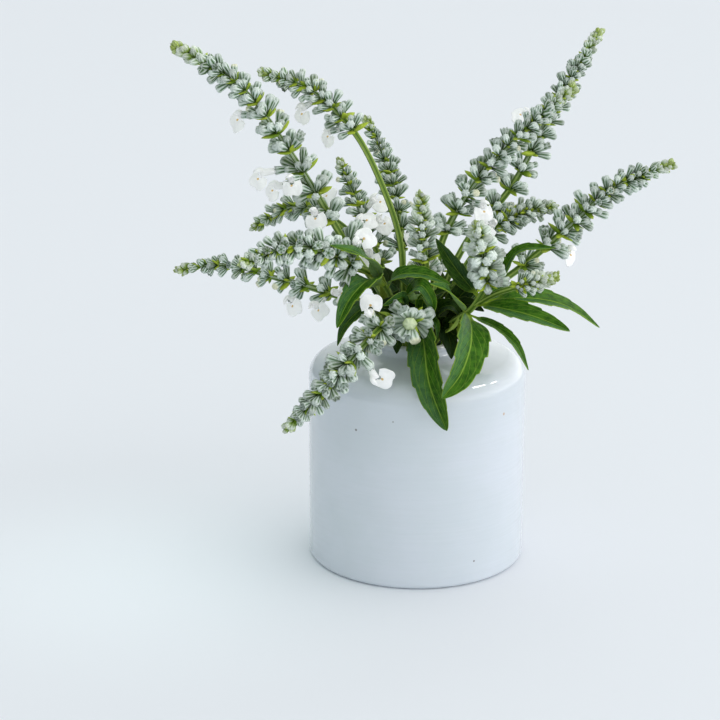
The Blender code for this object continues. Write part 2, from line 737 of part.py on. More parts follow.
def make_flower(root, direction, ahead, length, calyx_mesh, lip_mesh):
    """The white flower out of one calyx: a widening tube, a broad lip and a small hood."""
    throat, lip_way, hood_way = flower_parts(root, direction, ahead, length)
    across = lip_way.cross(direction).normalized()
    basis = Matrix((across, lip_way, across.cross(lip_way))).transposed().to_4x4()
    size = Matrix.Diagonal((LIP_WIDTH * MM, LIP_DEPTH * MM, LIP_THICKNESS * MM, 1.0))
    lip = Matrix.Translation((throat + lip_way * LIP_DEPTH * 0.4) * MM) @ basis @ size
    tube = place_matrix(root + direction * (length * FLOWER_START), direction, TUBE_RADIUS, FLOWER_TUBE)
    hood = place_matrix(throat - direction * HOOD_SINK, hood_way, HOOD_RADIUS, HOOD_LENGTH)
    scene = bpy.context.scene.collection
    return [
        add_mesh("tube", calyx_mesh, scene, tube),
        add_mesh("lip", lip_mesh, scene, lip),
        add_mesh("hood", calyx_mesh, scene, hood),
    ]


def main():
    clear_scene()
    parts = make_collection("mealycup_sage_in_vase")
    cutters = make_collection("cutters", hidden=True)
    glaze = make_material("glaze", (0.80, 0.84, 0.88), 0.18)
    water = make_material("water", (0.75, 0.85, 0.88), 0.05)
    green = make_material("stem_and_leaf", (0.14, 0.28, 0.07), 0.5)
    felt = make_material("mealy_calyx", (0.48, 0.56, 0.50), 0.85)

    stems = {}
    spikes = {}
    for name, sprig in SPRIGS.items():
        stems[name], line = split_way(full_way(sprig), sprig["spike"])
        spikes[name] = (line, sprig)
    shoot_way, shoot_line = split_way(smooth_way(SIDE_SHOOT["way"], 1.0), SIDE_SHOOT["spike"])
    spikes["side_shoot"] = (shoot_line, SIDE_SHOOT)
    shoots = {SIDE_SHOOT["parent"]: [shoot_way]}

    room = Room()
    for name, way in stems.items():
        for point in way[1::2] + [p for shoot in shoots.get(name, []) for p in shoot[::2]]:
            room.add(name + "_stem", point, STEM_HALF_DIAGONAL)
    planned = {}
    for name, (line, sprig) in spikes.items():
        planned[name] = plan_spike(name, line, sprig)
        for k in range(0, len(line), 2):
            room.add(name + "_spike", line[k], core_radius(k / len(line), sprig))
        for root, direction, ahead, length, has_flower in planned[name]:
            if has_flower:
                for ball in flower_balls(root, direction, ahead, length):
                    room.add(name + "_spike", *ball)

    make_vase(parts, glaze)
    make_water(stems, parts, cutters, water)
    for name, way in stems.items():
        leaves = LEAVES.get(name, [])
        make_stem(name + "_stem", way, shoots.get(name, []), leaves, room, parts, green)
    templates = (calyx_template(CALYX_SIDES), calyx_template(BUD_SIDES), lip_template())
    for name, (line, sprig) in spikes.items():
        make_spike(name + "_spike", line, sprig, planned[name], room, templates, parts, felt)


main()
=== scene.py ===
import json
import math
import random

import bmesh
import bpy
from mathutils import Matrix, Vector

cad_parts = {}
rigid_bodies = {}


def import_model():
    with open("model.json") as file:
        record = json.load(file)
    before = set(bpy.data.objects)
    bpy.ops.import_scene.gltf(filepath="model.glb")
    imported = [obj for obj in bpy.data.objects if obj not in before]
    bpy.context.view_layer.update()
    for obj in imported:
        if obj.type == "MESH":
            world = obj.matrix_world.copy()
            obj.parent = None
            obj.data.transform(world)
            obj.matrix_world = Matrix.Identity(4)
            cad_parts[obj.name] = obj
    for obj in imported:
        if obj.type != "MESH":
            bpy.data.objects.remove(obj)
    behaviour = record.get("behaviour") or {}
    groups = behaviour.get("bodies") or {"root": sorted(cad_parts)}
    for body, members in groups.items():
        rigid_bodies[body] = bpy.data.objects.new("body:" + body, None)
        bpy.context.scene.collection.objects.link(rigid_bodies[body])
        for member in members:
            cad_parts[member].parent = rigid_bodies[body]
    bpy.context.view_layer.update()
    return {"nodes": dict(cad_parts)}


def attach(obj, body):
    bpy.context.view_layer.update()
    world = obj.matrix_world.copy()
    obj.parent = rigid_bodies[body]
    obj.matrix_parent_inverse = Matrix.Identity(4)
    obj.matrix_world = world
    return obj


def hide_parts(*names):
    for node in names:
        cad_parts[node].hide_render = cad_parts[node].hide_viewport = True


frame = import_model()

mm = 0.001

# the camera stands in front of the vase and a little above it
camera = {"place": (-0.02104, -0.70421, 0.28851), "tilt": 73.1, "lens": 100, "sensor": 36, "near": 0.02}

# rim: where the stem crosses the neck, parent: the sprig that a side shoot grows on
# way: the points it passes above the neck, up to its tip (mm)
# spike: length of the flower head, whorls: how many, fan: calyces in each half of a whorl
# calyx: length of the largest, plump: how much wider they are, open: share of them that stand open
# low: bare stretch above a lone first whorl, bare: bare stretch under the first whorl
# youth: 0 open to 1 in tight bud, endBud: length of one bud at the tip in place of the small ones
# lean: how far the lowest calyces lean from the stem, ripe: how yellow-green the tip gets
# mealAndPaintedLight: painted light, white felt colour laid over the grooves of a sprig's calyces so that
# they look more brightly lit
# flowers: distance up the spike, the way the flower looks and how much longer its tube is
sprigs = {
    "tall_left": {
        "rim": (-8.4, 0.8),
        "way": [(-10.5, 1.5, 93), (-26.5, 3, 118.5), (-46.5, 0, 153), (-63, -3, 176), (-86.5, -5, 191)],
        "spike": 102, "whorls": 16, "fan": 6, "calyx": 9.8, "plump": 1.3,
        "flowers": [
            (5, (1, 0.3, 0)), (19, (-0.4, -1, 0)), (34, (-0.6, -1, 0)),
            (38, (-1, -0.1, -0.1), 5), (30, (-1, 0.3, -0.3), 4), (61, (-1, 0.5, -0.3), 1),
        ],
    },
    "arching_left": {
        "rim": (-2.8, 1.6),
        "way": [
            (-5, 3, 97), (-6.5, 5, 118.5), (-13, 6.5, 138.5), (-24, 8, 159), (-39, 9.5, 173), (-57, 11, 179),
        ],
        "spike": 42, "whorls": 11, "fan": 5, "calyx": 7.6, "plump": 1.25, "youth": 0.25, "ripe": 1.1,
        "flowers": [(3, (-1, 0.5, -0.3)), (18, (-0.5, 0.2, -1))],
    },
    "back_left": {
        "rim": (-3.2, 7.2),
        "way": [(-5, 13, 93.5), (-5.5, 24, 116), (-11, 32, 141), (-19, 35, 158.5)],
        "spike": 53, "whorls": 12, "fan": 5, "calyx": 7.4, "plump": 1.2,
        "flowers": [(4, (0.5, -1, 0))],
    },
    "back_centre": {
        "rim": (-6.0, 4.4),
        "way": [(-9, 11, 94.5), (-15, 16, 112), (-22.5, 21, 130.5), (-29, 24, 145)],
        "spike": 43, "whorls": 9, "fan": 5, "calyx": 7.4, "plump": 1.2,
        "flowers": [(3, (-0.3, -1, 0)), (13, (0.8, -0.8, 0)), (21, (0.9, -0.5, 0.3))],
    },
    "low_back_left": {
        "rim": (-9.6, 4.4),
        "way": [(-13, 12, 98.5), (-28, 27, 119), (-45, 37, 124), (-62.5, 41.5, 114.5)],
        "spike": 37, "whorls": 9, "fan": 4, "calyx": 7.0, "plump": 1.2, "youth": 0.3,
        "flowers": [(3, (0, -0.5, 1))],
    },
    "low_left": {
        "rim": (-10.0, -2.8),
        "way": [(-14.5, -2.5, 93.5), (-32, 0, 100), (-52, 3, 105), (-70.5, 6.5, 109), (-89, 8, 106.5)],
        "spike": 69, "whorls": 13, "fan": 5, "calyx": 7.4, "plump": 1.35,
        "flowers": [(4, (0, -1, 0.4)), (10, (0, -0.9, -0.5), 1), (21, (0, -0.5, -1), -1)],
    },
    "front_left": {
        "rim": (-6.8, -6.0),
        "way": [(-11.5, -9, 104.5), (-26.5, -22.5, 118), (-45, -38.5, 126.5), (-61.5, -53, 124)],
        "spike": 54, "whorls": 11, "fan": 5, "calyx": 8.6, "youth": 0.1, "plump": 1.45, "open": 0.3,
        "flowers": [(3, (0.6, -0.2, 1))],
    },
    "drooping": {
        "rim": (-3.6, -9.2),
        "way": [(-7, -17.5, 95), (-16, -38.5, 96), (-28, -49.5, 85), (-37.5, -52, 75), (-47, -52, 65)],
        "spike": 53, "whorls": 12, "fan": 6, "calyx": 7.8, "plump": 1.45, "open": 0.2, "mealAndPaintedLight": 0.25,
        "flowers": [(3, (-0.5, -0.6, 1)), (15, (0.4, -0.5, -1), 3)],
    },
    "upright": {
        "rim": (-0.8, -5.6),
        "way": [(1.5, -7, 97.5), (2.5, -11, 112), (1, -13.5, 126.5), (0, -16, 141)],
        "spike": 32, "whorls": 9, "fan": 4, "calyx": 7.0, "youth": 0.5, "plump": 1.35, "mealAndPaintedLight": 0.3,
    },
    "leafy": {
        "rim": (3.8, -6.8),
        "way": [(10.5, -15, 92), (19, -26.5, 102.5), (23, -30.5, 112), (21.5, -33.5, 124), (18.5, -37, 135)],
        "spike": 28, "whorls": 7, "fan": 5, "calyx": 8.0, "youth": 0.35, "plump": 1.65, "lean": 92,
        "ripe": 1.1, "mealAndPaintedLight": 0.8, "open": 0.3, "bare": 3.5,
    },
    "tall_right": {
        "rim": (2.0, 0.0),
        "way": [(5.5, 4, 100), (9, 5, 118.5), (16, 3, 133.5), (34.5, 0, 157), (54.5, -3, 176)],
        "spike": 86, "whorls": 18, "fan": 6, "calyx": 8.6, "plump": 1.3, "low": 13,
        "flowers": [(1.2, (-0.1, -1, 0.8)), (29, (0.2, -0.5, -1))],
    },
    "back_right": {
        "rim": (2.0, 7.2),
        "way": [(9.5, 11, 98.5), (20, 19, 117), (34.5, 24, 133.5), (49.5, 29, 161.5), (67, 32, 191)],
        "spike": 78, "whorls": 17, "fan": 6, "calyx": 8.0, "plump": 1.3,
        "flowers": [(36, (-1, 0.2, 0.3))],
    },
    "right": {
        "rim": (8.8, -0.8),
        "way": [(19, 5, 93), (39, 5, 109.5), (54.5, 3, 124), (70.5, 1.5, 139), (91, 0, 148)],
        "spike": 67, "whorls": 15, "fan": 6, "calyx": 8.4, "plump": 1.3, "low": 10, "ripe": 1.1,
        "flowers": [(13, (0.5, 0.5, -1))],
    },
    "short_right": {
        "rim": (6.0, 3.6),
        "way": [(11, 8, 95), (23, 12, 114.5), (30.5, 12, 123), (40, 10.5, 128), (50.5, 9, 130.5)],
        "spike": 27, "whorls": 9, "fan": 5, "calyx": 7.0, "plump": 1.25, "youth": 0.4,
        "flowers": [(2, (-0.3, -1, 0.4))],
    },
    "facing": {
        "rim": (0.6, -10.0),
        "way": [(0, -17.5, 97), (-2.5, -27, 97.5), (-4, -41.5, 100)],
        "spike": 16, "whorls": 2, "fan": 3, "calyx": 8.8, "open": 0.3, "plump": 1.85, "lean": 84,
        "endBud": 5.5, "mealAndPaintedLight": 0.5,
    },
    "side_shoot": {
        "parent": "leafy",
        "way": [(19, -26.5, 102.5), (26.5, -33.5, 109), (34.5, -38.5, 113), (46.5, -41.5, 117)],
        "spike": 15, "whorls": 10, "fan": 5, "calyx": 5.2, "youth": 1.0, "ripe": 1.2, "lean": 54,
        "plump": 1.2,
    },
}

# each leaf: the midrib from the stem to the tip, its width, the side its upper face turns to,
# how blunt its tip is and its share of shade and of young yellow-green
def blade(way, width, face, blunt=0.0, shade=0.0, young=0.0):
    return {"way": way, "width": width, "face": face, "blunt": blunt, "shade": shade, "young": young}


leaves = {
    "leafy": [
        blade([(17, -23.3, 99), (17.6, -38, 96.2), (16.6, -46, 92.1), (13.4, -51, 85), (7, -54, 77.2)],
              13, (0.4, -1, 0.35), blunt=0.5),
        blade([(19.5, -27, 103.2), (28.4, -38, 104.6), (38.7, -47, 104.2), (50.2, -52, 100.6)],
              8.5, (0.1, -0.8, 1), blunt=0.5),
        blade([(21, -28, 104), (37.5, -27, 105.4), (50.5, -24, 102.2), (64, -21, 93)], 9, (0.3, -0.4, 1)),
        blade([(17, -23, 98.5), (28, -32, 95), (33.5, -37.5, 90.5), (37.5, -40, 83)],
              5.5, (0.6, -0.6, 0.8)),
        blade([(21, -28, 105.5), (13, -22.5, 114.5), (5.5, -21, 125.5)], 6.5, (-0.2, -1, 0.2), shade=0.6),
        blade([(16.2, -23, 98.8), (12.5, -30, 104.8), (8.7, -36, 110.9), (3, -40, 114)], 6.5, (0, -0.6, 1)),
        blade([(20, -27, 103), (31, -21, 106.5), (40, -14.5, 105)], 7, (0, -0.5, 1)),
        blade([(9.5, -13, 89.5), (7.5, -17, 98.8), (11.6, -20, 100.6), (14.8, -20, 96.7)],
              7, (0.1, -0.8, 0.8), shade=0.8),
        blade([(10.5, -15, 92), (11.5, -24, 93.1), (12.7, -28, 95.8), (13.7, -28, 99)],
              4, (-0.6, 0.8, 0.3), young=0.7),
        blade([(9, -13, 88), (13, -17, 93), (17, -20, 89), (19, -21, 82.5)], 8, (0.2, -1, 0.5), shade=0.9),
        blade([(6, -10, 88), (9, -17, 92), (11, -22, 88), (11.5, -23.5, 82)], 8, (0, -1, 0.4), shade=0.9),
        blade([(9.5, -13, 89), (13, -16, 98), (18, -19, 101), (23, -21, 99)], 7, (0, -1, 0.5), shade=0.9),
        blade([(10, -12, 91), (15, -14, 103), (21, -15, 108), (27, -15, 107)], 8, (0, -1, 0.5), shade=0.8),
        blade([(-1, -11, 86), (1, -17, 90.5), (3, -20, 88), (3.5, -22, 83)], 8, (0, -1, 0.4), shade=0.9),
        blade([(-4, -12, 86), (-6, -17, 91), (-7.5, -20, 88), (-8, -22, 83.5)],
              7, (-0.2, -1, 0.4), shade=0.8),
        blade([(11.8, -16, 95.1), (13.8, -20, 91.8), (14.9, -22, 87.2)], 3, (0, -1, 0.3), young=0.8),
    ],
    "facing": [
        blade([(0, -15, 93.5), (1.4, -33.5, 90.5), (3, -48, 80), (9, -49.5, 64)],
              12.5, (-0.4, -1, 0.25), blunt=0.6, shade=0.25),
        blade([(0, -14.5, 92), (2.5, -22.5, 105), (5, -26.5, 99)], 6.5, (0.3, -1, 0.3)),
    ],
    "front_left": [
        blade([(-11.3, -9, 104), (-8, -16, 110.5), (2, -24, 113), (10.8, -27, 110.2)], 7, (-0.1, -0.7, 1)),
        blade([(-12, -9.5, 105), (-18.9, -24, 110.5), (-25.2, -31, 105), (-29.1, -34, 96.5)],
              9.5, (-0.5, -0.8, 0.6), blunt=0.3),
        blade([(-12.5, -9.5, 105.5), (-16.1, -20, 115.3), (-23.8, -30, 123.2), (-31.4, -33, 126)],
              6.5, (-0.3, -0.7, 0.8)),
        blade([(-8.4, -6.8, 94.5), (-6.5, -21, 104), (-13, -26.5, 102.5)], 5.5, (-0.2, -1, 0.2)),
        blade([(-11.5, -9, 104.5), (-13.9, -12, 108.4), (-18.2, -15, 111.5), (-22.5, -17, 112.7)],
              3.4, (0, -0.8, 0.6), young=0.8),
    ],
    "low_left": [
        blade([(-13.5, -2.5, 93), (-21.5, -21, 99), (-26.5, -27, 95), (-29, -32, 89.5)],
              6.5, (-0.4, -1, 0.4), shade=0.4),
        blade([(-13.5, -2.5, 94), (-12.5, -9, 104), (-14.9, -14, 112.5), (-16.1, -16, 117.2)],
              3, (0, -1, 0.2), young=0.9),
    ],
    "right": [
        blade([(29, 5, 101.5), (37, -3, 117), (49, -8, 119)], 5, (0, -0.7, 1)),
    ],
    "upright": [
        blade([(1.4, -7, 96), (-2, -20, 107), (1.3, -28, 109.7), (4.2, -28, 105), (4.7, -25, 98.4)],
              6.5, (-0.2, -0.8, 0.6)),
        blade([(0.2, -6, 88), (-5.6, -14, 97.5), (-11.1, -20, 101.4), (-15.7, -22, 101.9)],
              9, (0, -0.9, 0.5), shade=0.8),
        blade([(0.4, -6, 89), (3.7, -24, 97.4), (6, -28, 95.6), (6.1, -28, 91.2)],
              5, (0.3, -0.9, 0.5), shade=0.4),
    ],
    "drooping": [
        blade([(-5, -12, 87.5), (-9.8, -30, 97.6), (-12, -34, 101.6), (-14.5, -36, 102.9)],
              4, (0, -0.8, 0.6), young=0.6),
    ],
}

# small opposite leaves at a node low on a stem: its height, their length, their turn in degrees
pairs = {
    "tall_left": (90, 17, 20), "arching_left": (92, 19, 60), "back_left": (93, 18, 10),
    "back_centre": (90, 19, 80), "low_back_left": (93, 17, 45), "low_left": (91, 14, 150),
    "front_left": (90, 15, 70), "drooping": (90, 15, 20), "upright": (94, 18, 10),
    "tall_right": (92, 20, 30), "back_right": (93, 18, 70), "right": (91, 17, 20),
    "short_right": (94, 18, 50), "facing": (88, 14, 90),
}


# small helpers for nodes, meshes and lines


# a colour is given as red, green and blue
def fill(socket, value):
    socket.default_value = (*value, 1.0) if socket.type == "RGBA" else value


# adds a node, with values or links for its sockets, and gives its outputs
def put(tree, kind, sockets=None, **settings):
    node = tree.nodes.new(kind)
    for key, value in settings.items():
        setattr(node, key, value)
    for name, value in (sockets or {}).items():
        if isinstance(value, bpy.types.NodeSocket):
            tree.links.new(value, node.inputs[name])
        else:
            fill(node.inputs[name], value)
    return node.outputs


def calc(tree, operation, a, b=0.0):
    return put(tree, "ShaderNodeMath", {0: a, 1: b}, operation=operation)[0]


def times(tree, a, b):
    return calc(tree, "MULTIPLY", a, b)


def smoothStep(tree, value, low, high):
    sockets = {"Value": value, "From Min": low, "From Max": high}
    return put(tree, "ShaderNodeMapRange", sockets, interpolation_type="SMOOTHSTEP")[0]


def blend(tree, factor, a, b):
    return put(tree, "ShaderNodeMix", {0: factor, 6: a, 7: b}, data_type="RGBA")[2]


# colours laid over a base one after another, each as mask, colour and strength
def layered(tree, base, *layers):
    for mask, tint, strength in layers:
        base = blend(tree, mask if strength == 1 else times(tree, mask, strength), base, tint)
    return base


def scaled(tree, vector, factor):
    return put(tree, "ShaderNodeVectorMath", {0: vector, "Scale": factor}, operation="SCALE")[0]


def apart(tree, place, spot):
    return put(tree, "ShaderNodeVectorMath", {0: place, 1: spot}, operation="DISTANCE")["Value"]


def axes(tree, vector):
    return put(tree, "ShaderNodeSeparateXYZ", {0: vector})


def uvAxes(tree):
    return axes(tree, put(tree, "ShaderNodeUVMap", uv_map="UVMap")[0])


def objectPlace(tree):
    return put(tree, "ShaderNodeTexCoord")["Object"]


# values that a mesh carries, read in a material or in a node tree
def attribute(tree, name):
    return put(tree, "ShaderNodeAttribute", attribute_name=name)["Fac"]


def named(tree, name, kind):
    return put(tree, "GeometryNodeInputNamedAttribute", {"Name": name}, data_type=kind)[0]


def newShader(name, values):
    material = bpy.data.materials.new(name)
    material.use_nodes = True
    tree = material.node_tree
    shader = tree.nodes["Principled BSDF"]
    for label, value in values.items():
        fill(shader.inputs[label], value)
    return material, tree, shader


def bumpInto(tree, shader, height, strength, distance, before=None):
    sockets = {"Height": height, "Strength": strength, "Distance": distance}
    if before is not None:
        sockets["Normal"] = before
    normal = put(tree, "ShaderNodeBump", sockets)["Normal"]
    tree.links.new(normal, shader.inputs["Normal"])
    return normal


# the colour of a material and its bumps, each as height, strength and distance
def dress(tree, shader, base, *bumps):
    tree.links.new(base, shader.inputs["Base Color"])
    normal = None
    for bump in bumps:
        normal = bumpInto(tree, shader, *bump, normal)


def newTree(name, kind, inputs, outputs):
    tree = bpy.data.node_groups.new(name, kind)
    for label, socketKind, value in inputs:
        made = tree.interface.new_socket(label, in_out="INPUT", socket_type="NodeSocket" + socketKind)
        if value is not None:
            made.default_value = value
    for label, socketKind in outputs:
        tree.interface.new_socket(label, in_out="OUTPUT", socket_type="NodeSocket" + socketKind)
    return tree, tree.nodes.new("NodeGroupInput").outputs, tree.nodes.new("NodeGroupOutput").inputs


def stored(tree, geometry, name, value, domain):
    sockets = {"Geometry": geometry, "Name": name, "Value": value}
    return put(tree, "GeometryNodeStoreNamedAttribute", sockets, data_type="FLOAT", domain=domain)[0]


def endTree(tree, geometry, material, out):
    real = put(tree, "GeometryNodeRealizeInstances", {0: geometry})[0]
    done = put(tree, "GeometryNodeSetMaterial", {"Geometry": real, "Material": material})[0]
    tree.links.new(done, out["Geometry"])
    return tree


def newPiece(name, data, materials=()):
    for material in materials:
        data.materials.append(material)
    piece = bpy.data.objects.new(name, data)
    bpy.context.scene.collection.objects.link(piece)
    return piece


def toMesh(shape, name):
    mesh = bpy.data.meshes.new(name)
    shape.to_mesh(mesh)
    shape.free()
    mesh.shade_smooth()
    return mesh


# a face, with its UV map where one is asked for
def addFace(shape, corners, uvs=None, places=()):
    face = shape.faces.new(corners)
    for loop, place in zip(face.loops, places):
        loop[uvs].uv = place


# faces over a grid of corners, where the UV map runs from 0 to 1 both ways
def skin(shape, grid, uvs=None):
    for k, (low, high) in enumerate(zip(grid, grid[1:])):
        v, above = k / (len(grid) - 1), (k + 1) / (len(grid) - 1)
        for n in range(len(low) - 1):
            u, after = n / (len(low) - 1), (n + 1) / (len(low) - 1)
            places = [] if uvs is None else [(u, v), (after, v), (after, above), (u, above)]
            addFace(shape, (low[n], low[n + 1], high[n + 1], high[n]), uvs, places)


def carry(mesh, name, kind, values):
    field = "vector" if kind == "FLOAT_VECTOR" else "value"
    mesh.attributes.new(name, kind, "POINT").data.foreach_set(field, values)


def thicken(piece, thickness):
    wall = piece.modifiers.new("Thickness", "SOLIDIFY")
    wall.thickness = thickness * mm
    wall.offset = 0.0
    return wall


# the shape that an object's modifiers give it, as a plain piece that takes its place
def settle(name, source):
    bpy.context.view_layer.update()
    graph = bpy.context.evaluated_depsgraph_get()
    mesh = bpy.data.meshes.new_from_object(source.evaluated_get(graph), depsgraph=graph)
    source.modifiers.clear()
    bpy.data.objects.remove(source, do_unlink=True)
    mesh.name = name
    return newPiece(name, mesh)


def finishPiece(piece, slot, *nodes):
    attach(piece, "root")
    if nodes:
        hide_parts(*nodes)


# runs a node tree on a source object and keeps the result as a plain mesh
def grow(name, source, tree, values):
    grower = source.modifiers.new("Grow", "NODES")
    grower.node_group = tree
    for item in tree.interface.items_tree:
        if item.item_type == "SOCKET" and item.in_out == "INPUT" and item.name in values:
            grower[item.identifier] = values[item.name]
    return settle(name, source)


def clamped(t):
    return min(1.0, max(0.0, t))


def smooth01(t):
    t = clamped(t)
    return t * t * (3 - 2 * t)


# the way that leaves a for b by an angle
def toward(a, b, turn):
    return a * math.cos(turn) + b * math.sin(turn)


def squareTo(axis, vector):
    return (vector - axis * vector.dot(axis)).normalized()


# the smooth line through the points, cut every millimetre
def smoothWay(points):
    fixed = [Vector(p) for p in points]
    last = len(fixed) - 1
    spans = [(fixed[i + 1] - fixed[i]).length for i in range(last)]
    slopes = [(fixed[1] - fixed[0]) / spans[0]]
    for i in range(1, last):
        before = (fixed[i] - fixed[i - 1]) / spans[i - 1]
        after = (fixed[i + 1] - fixed[i]) / spans[i]
        slopes.append((before * spans[i] + after * spans[i - 1]) / (spans[i] + spans[i - 1]))
    slopes.append((fixed[last] - fixed[last - 1]) / spans[last - 1])
    fine = []
    for i in range(last):
        for k in range(40):
            t = k / 40
            place = fixed[i] * (2 * t**3 - 3 * t**2 + 1) + fixed[i + 1] * (3 * t**2 - 2 * t**3)
            place += slopes[i] * (t**3 - 2 * t**2 + t) * spans[i]
            place += slopes[i + 1] * (t**3 - t**2) * spans[i]
            fine.append(place)
    fine.append(fixed[last])
    return resample(fine, 1.0)


def resample(fine, step):
    reach = [0.0]
    for a, b in zip(fine, fine[1:]):
        reach.append(reach[-1] + (b - a).length)
    count = max(2, round(reach[-1] / step))
    found = []
    at = 0
    for k in range(count + 1):
        wanted = reach[-1] * k / count
        while at < len(fine) - 2 and reach[at + 1] < wanted:
            at += 1
        share = (wanted - reach[at]) / max(reach[at + 1] - reach[at], 1e-9)
        found.append(fine[at].lerp(fine[at + 1], min(1.0, share)))
    return found


def pointAt(line, distance):
    k = min(int(distance), len(line) - 2)
    return line[k].lerp(line[k + 1], distance - k), (line[k + 1] - line[k]).normalized()


# camera


def makeCamera():
    data = bpy.data.cameras.new("camera")
    data.lens = camera["lens"]
    data.sensor_width = camera["sensor"]
    data.clip_start = camera["near"]
    holder = newPiece("camera", data)
    holder.location = camera["place"]
    holder.rotation_euler = (math.radians(camera["tilt"]), 0, 0)
    bpy.context.scene.camera = holder


makeCamera()
print("camera ready")


# effects that several materials share


def makeMottle():
    inputs = [
        ("Size", "Float", 0.002), ("Detail", "Float", 4.0), ("Low", "Float", 0.35), ("High", "Float", 0.65),
    ]
    tree, given, out = newTree("mottle", "ShaderNodeTree", inputs, [("Mask", "Float"), ("Height", "Float")])
    place = objectPlace(tree)
    scale = calc(tree, "DIVIDE", 1.0, given["Size"])
    sockets = {"Vector": place, "Scale": scale, "Detail": given["Detail"], "Roughness": 0.6}
    noise = put(tree, "ShaderNodeTexNoise", sockets)[0]
    tree.links.new(smoothStep(tree, noise, given["Low"], given["High"]), out["Mask"])
    tree.links.new(noise, out["Height"])
    return tree


# lengthwise ribs on anything whose UV map runs round it in U
def makeRibs():
    inputs = [("Count", "Float", 10.0), ("Width", "Float", 0.5)]
    tree, given, out = newTree("ribs", "ShaderNodeTree", inputs, [("Mask", "Float"), ("Height", "Float")])
    turns = times(tree, times(tree, uvAxes(tree)[0], given["Count"]), math.tau)
    wave = calc(tree, "MULTIPLY_ADD", calc(tree, "COSINE", turns), 0.5)
    wave.node.inputs[2].default_value = 0.5
    edge = calc(tree, "SUBTRACT", 1.0, given["Width"])
    tree.links.new(smoothStep(tree, wave, times(tree, edge, 0.4), edge), out["Mask"])
    tree.links.new(wave, out["Height"])
    return tree


mottleTree = makeMottle()
ribsTree = makeRibs()


# both give a mask and a height
def mottle(tree, size, detail=4.0, low=0.35, high=0.65):
    sockets = {"Size": size, "Detail": detail, "Low": low, "High": high}
    return put(tree, "ShaderNodeGroup", sockets, node_tree=mottleTree)


def ribs(tree, count, width):
    return put(tree, "ShaderNodeGroup", {"Count": count, "Width": width}, node_tree=ribsTree)


# vase: a thrown, glazed cylinder with a round shoulder and a rolled lip


vase = {
    "radius": 40.0, "height": 84.0, "wall": 3.5, "floor": 5.0, "foot": 38.2,
    "shoulderStart": 69.2, "shoulderRound": 8.0, "neckFoot": 79.8, "neck": 16.2, "mouth": 13.5,
    "collarDrop": 3.2, "collarFoot": 24.5, "steps": 144, "ringDepth": 0.05, "lipDepth": 1.2,
    "glaze": (0.66, 0.71, 0.77), "shade": (0.58, 0.65, 0.68), "speck": (0.10, 0.09, 0.07),
    "rust": (0.55, 0.36, 0.20), "lip": (0.62, 0.60, 0.52),
    # where the iron specks are: degrees round the vase, height and size in mm, and how rusty
    "specks": [(-124.2, 58.7, 0.6, 0), (-103.7, 63.6, 0.35, 0), (-40.5, 62.3, 0.7, 1), (-59.8, 9.2, 0.5, 0)],
}


def arc(centre, radius, startDeg, endDeg, count):
    turns = [math.radians(startDeg + (endDeg - startDeg) * k / count) for k in range(count + 1)]
    return [(centre[0] + radius * math.cos(a), centre[1] + radius * math.sin(a)) for a in turns]


def vaseProfile():
    v = vase
    inside = v["radius"] - v["wall"]
    hub = (v["radius"] - v["shoulderRound"], v["shoulderStart"])
    inner = [(0.0, v["floor"])] + arc((inside - 5, v["floor"] + 5), 5.0, -90, 0, 8)
    inner += arc(hub, v["shoulderRound"] - v["wall"], 0, 75, 8)
    inner += [(v["mouth"] + 4.2, v["neckFoot"] - v["wall"]), (v["mouth"] + 0.6, v["neckFoot"] - 2)]
    lip = (v["neck"] - v["mouth"]) / 2 + 0.2
    neck = [(v["mouth"], v["neckFoot"] + 0.5)]
    neck += arc((v["mouth"] + lip, v["height"] - lip), lip, 180, -20, 16)
    low = v["neckFoot"]
    collar = [(v["neck"], v["height"] - v["collarDrop"]), (v["neck"] + 0.7, low + 0.3)]
    collar += [(v["neck"] + 2.1, low), (v["collarFoot"], low - 0.9)]
    collar += arc(hub, v["shoulderRound"], 82, 82, 1)[:1]
    slope = [(p.x, p.y) for p in smoothWay([(x, y, 0) for x, y in collar])]
    shoulder = arc(hub, v["shoulderRound"], 80, 0, 22)
    side = [(v["radius"], v["shoulderStart"] - 1.6 * k) for k in range(1, 40)]
    foot = [(v["radius"], 2.0), (v["radius"] - 0.12, 1.3), (v["radius"] - 0.7, 0.6), (v["radius"] - 1.2, 0.2)]
    foot += [(v["foot"], 0.0), (v["foot"] - 2.0, 0.0), (v["foot"] - 2.6, 0.4), (0.0, 0.4)]
    outer = []
    for radius, height in slope + shoulder + side:
        wave = math.sin(height * 1.9) + 0.6 * math.sin(height * 3.1 + 1) + 0.5 * math.sin(height * 0.7)
        outer.append((radius - v["ringDepth"] * (1 + wave / 2), height))
    return inner + neck + outer + foot


def turned(name, profile, steps, materials):
    shape = bmesh.new()
    rings = []
    for radius, height in profile:
        count = steps if radius > 0 else 1
        turns = [math.tau * k / steps for k in range(count)]
        places = [(radius * mm * math.cos(a), radius * mm * math.sin(a), height * mm) for a in turns]
        rings.append([shape.verts.new(place) for place in places])
    for low, high in zip(rings, rings[1:]):
        for k in range(steps):
            n = (k + 1) % steps
            if len(low) == 1:
                shape.faces.new((low[0], high[k], high[n]))
            elif len(high) == 1:
                shape.faces.new((low[k], high[0], low[n]))
            else:
                shape.faces.new((low[k], high[k], high[n], low[n]))
    bmesh.ops.recalc_face_normals(shape, faces=shape.faces)
    return newPiece(name, toMesh(shape, name), materials)


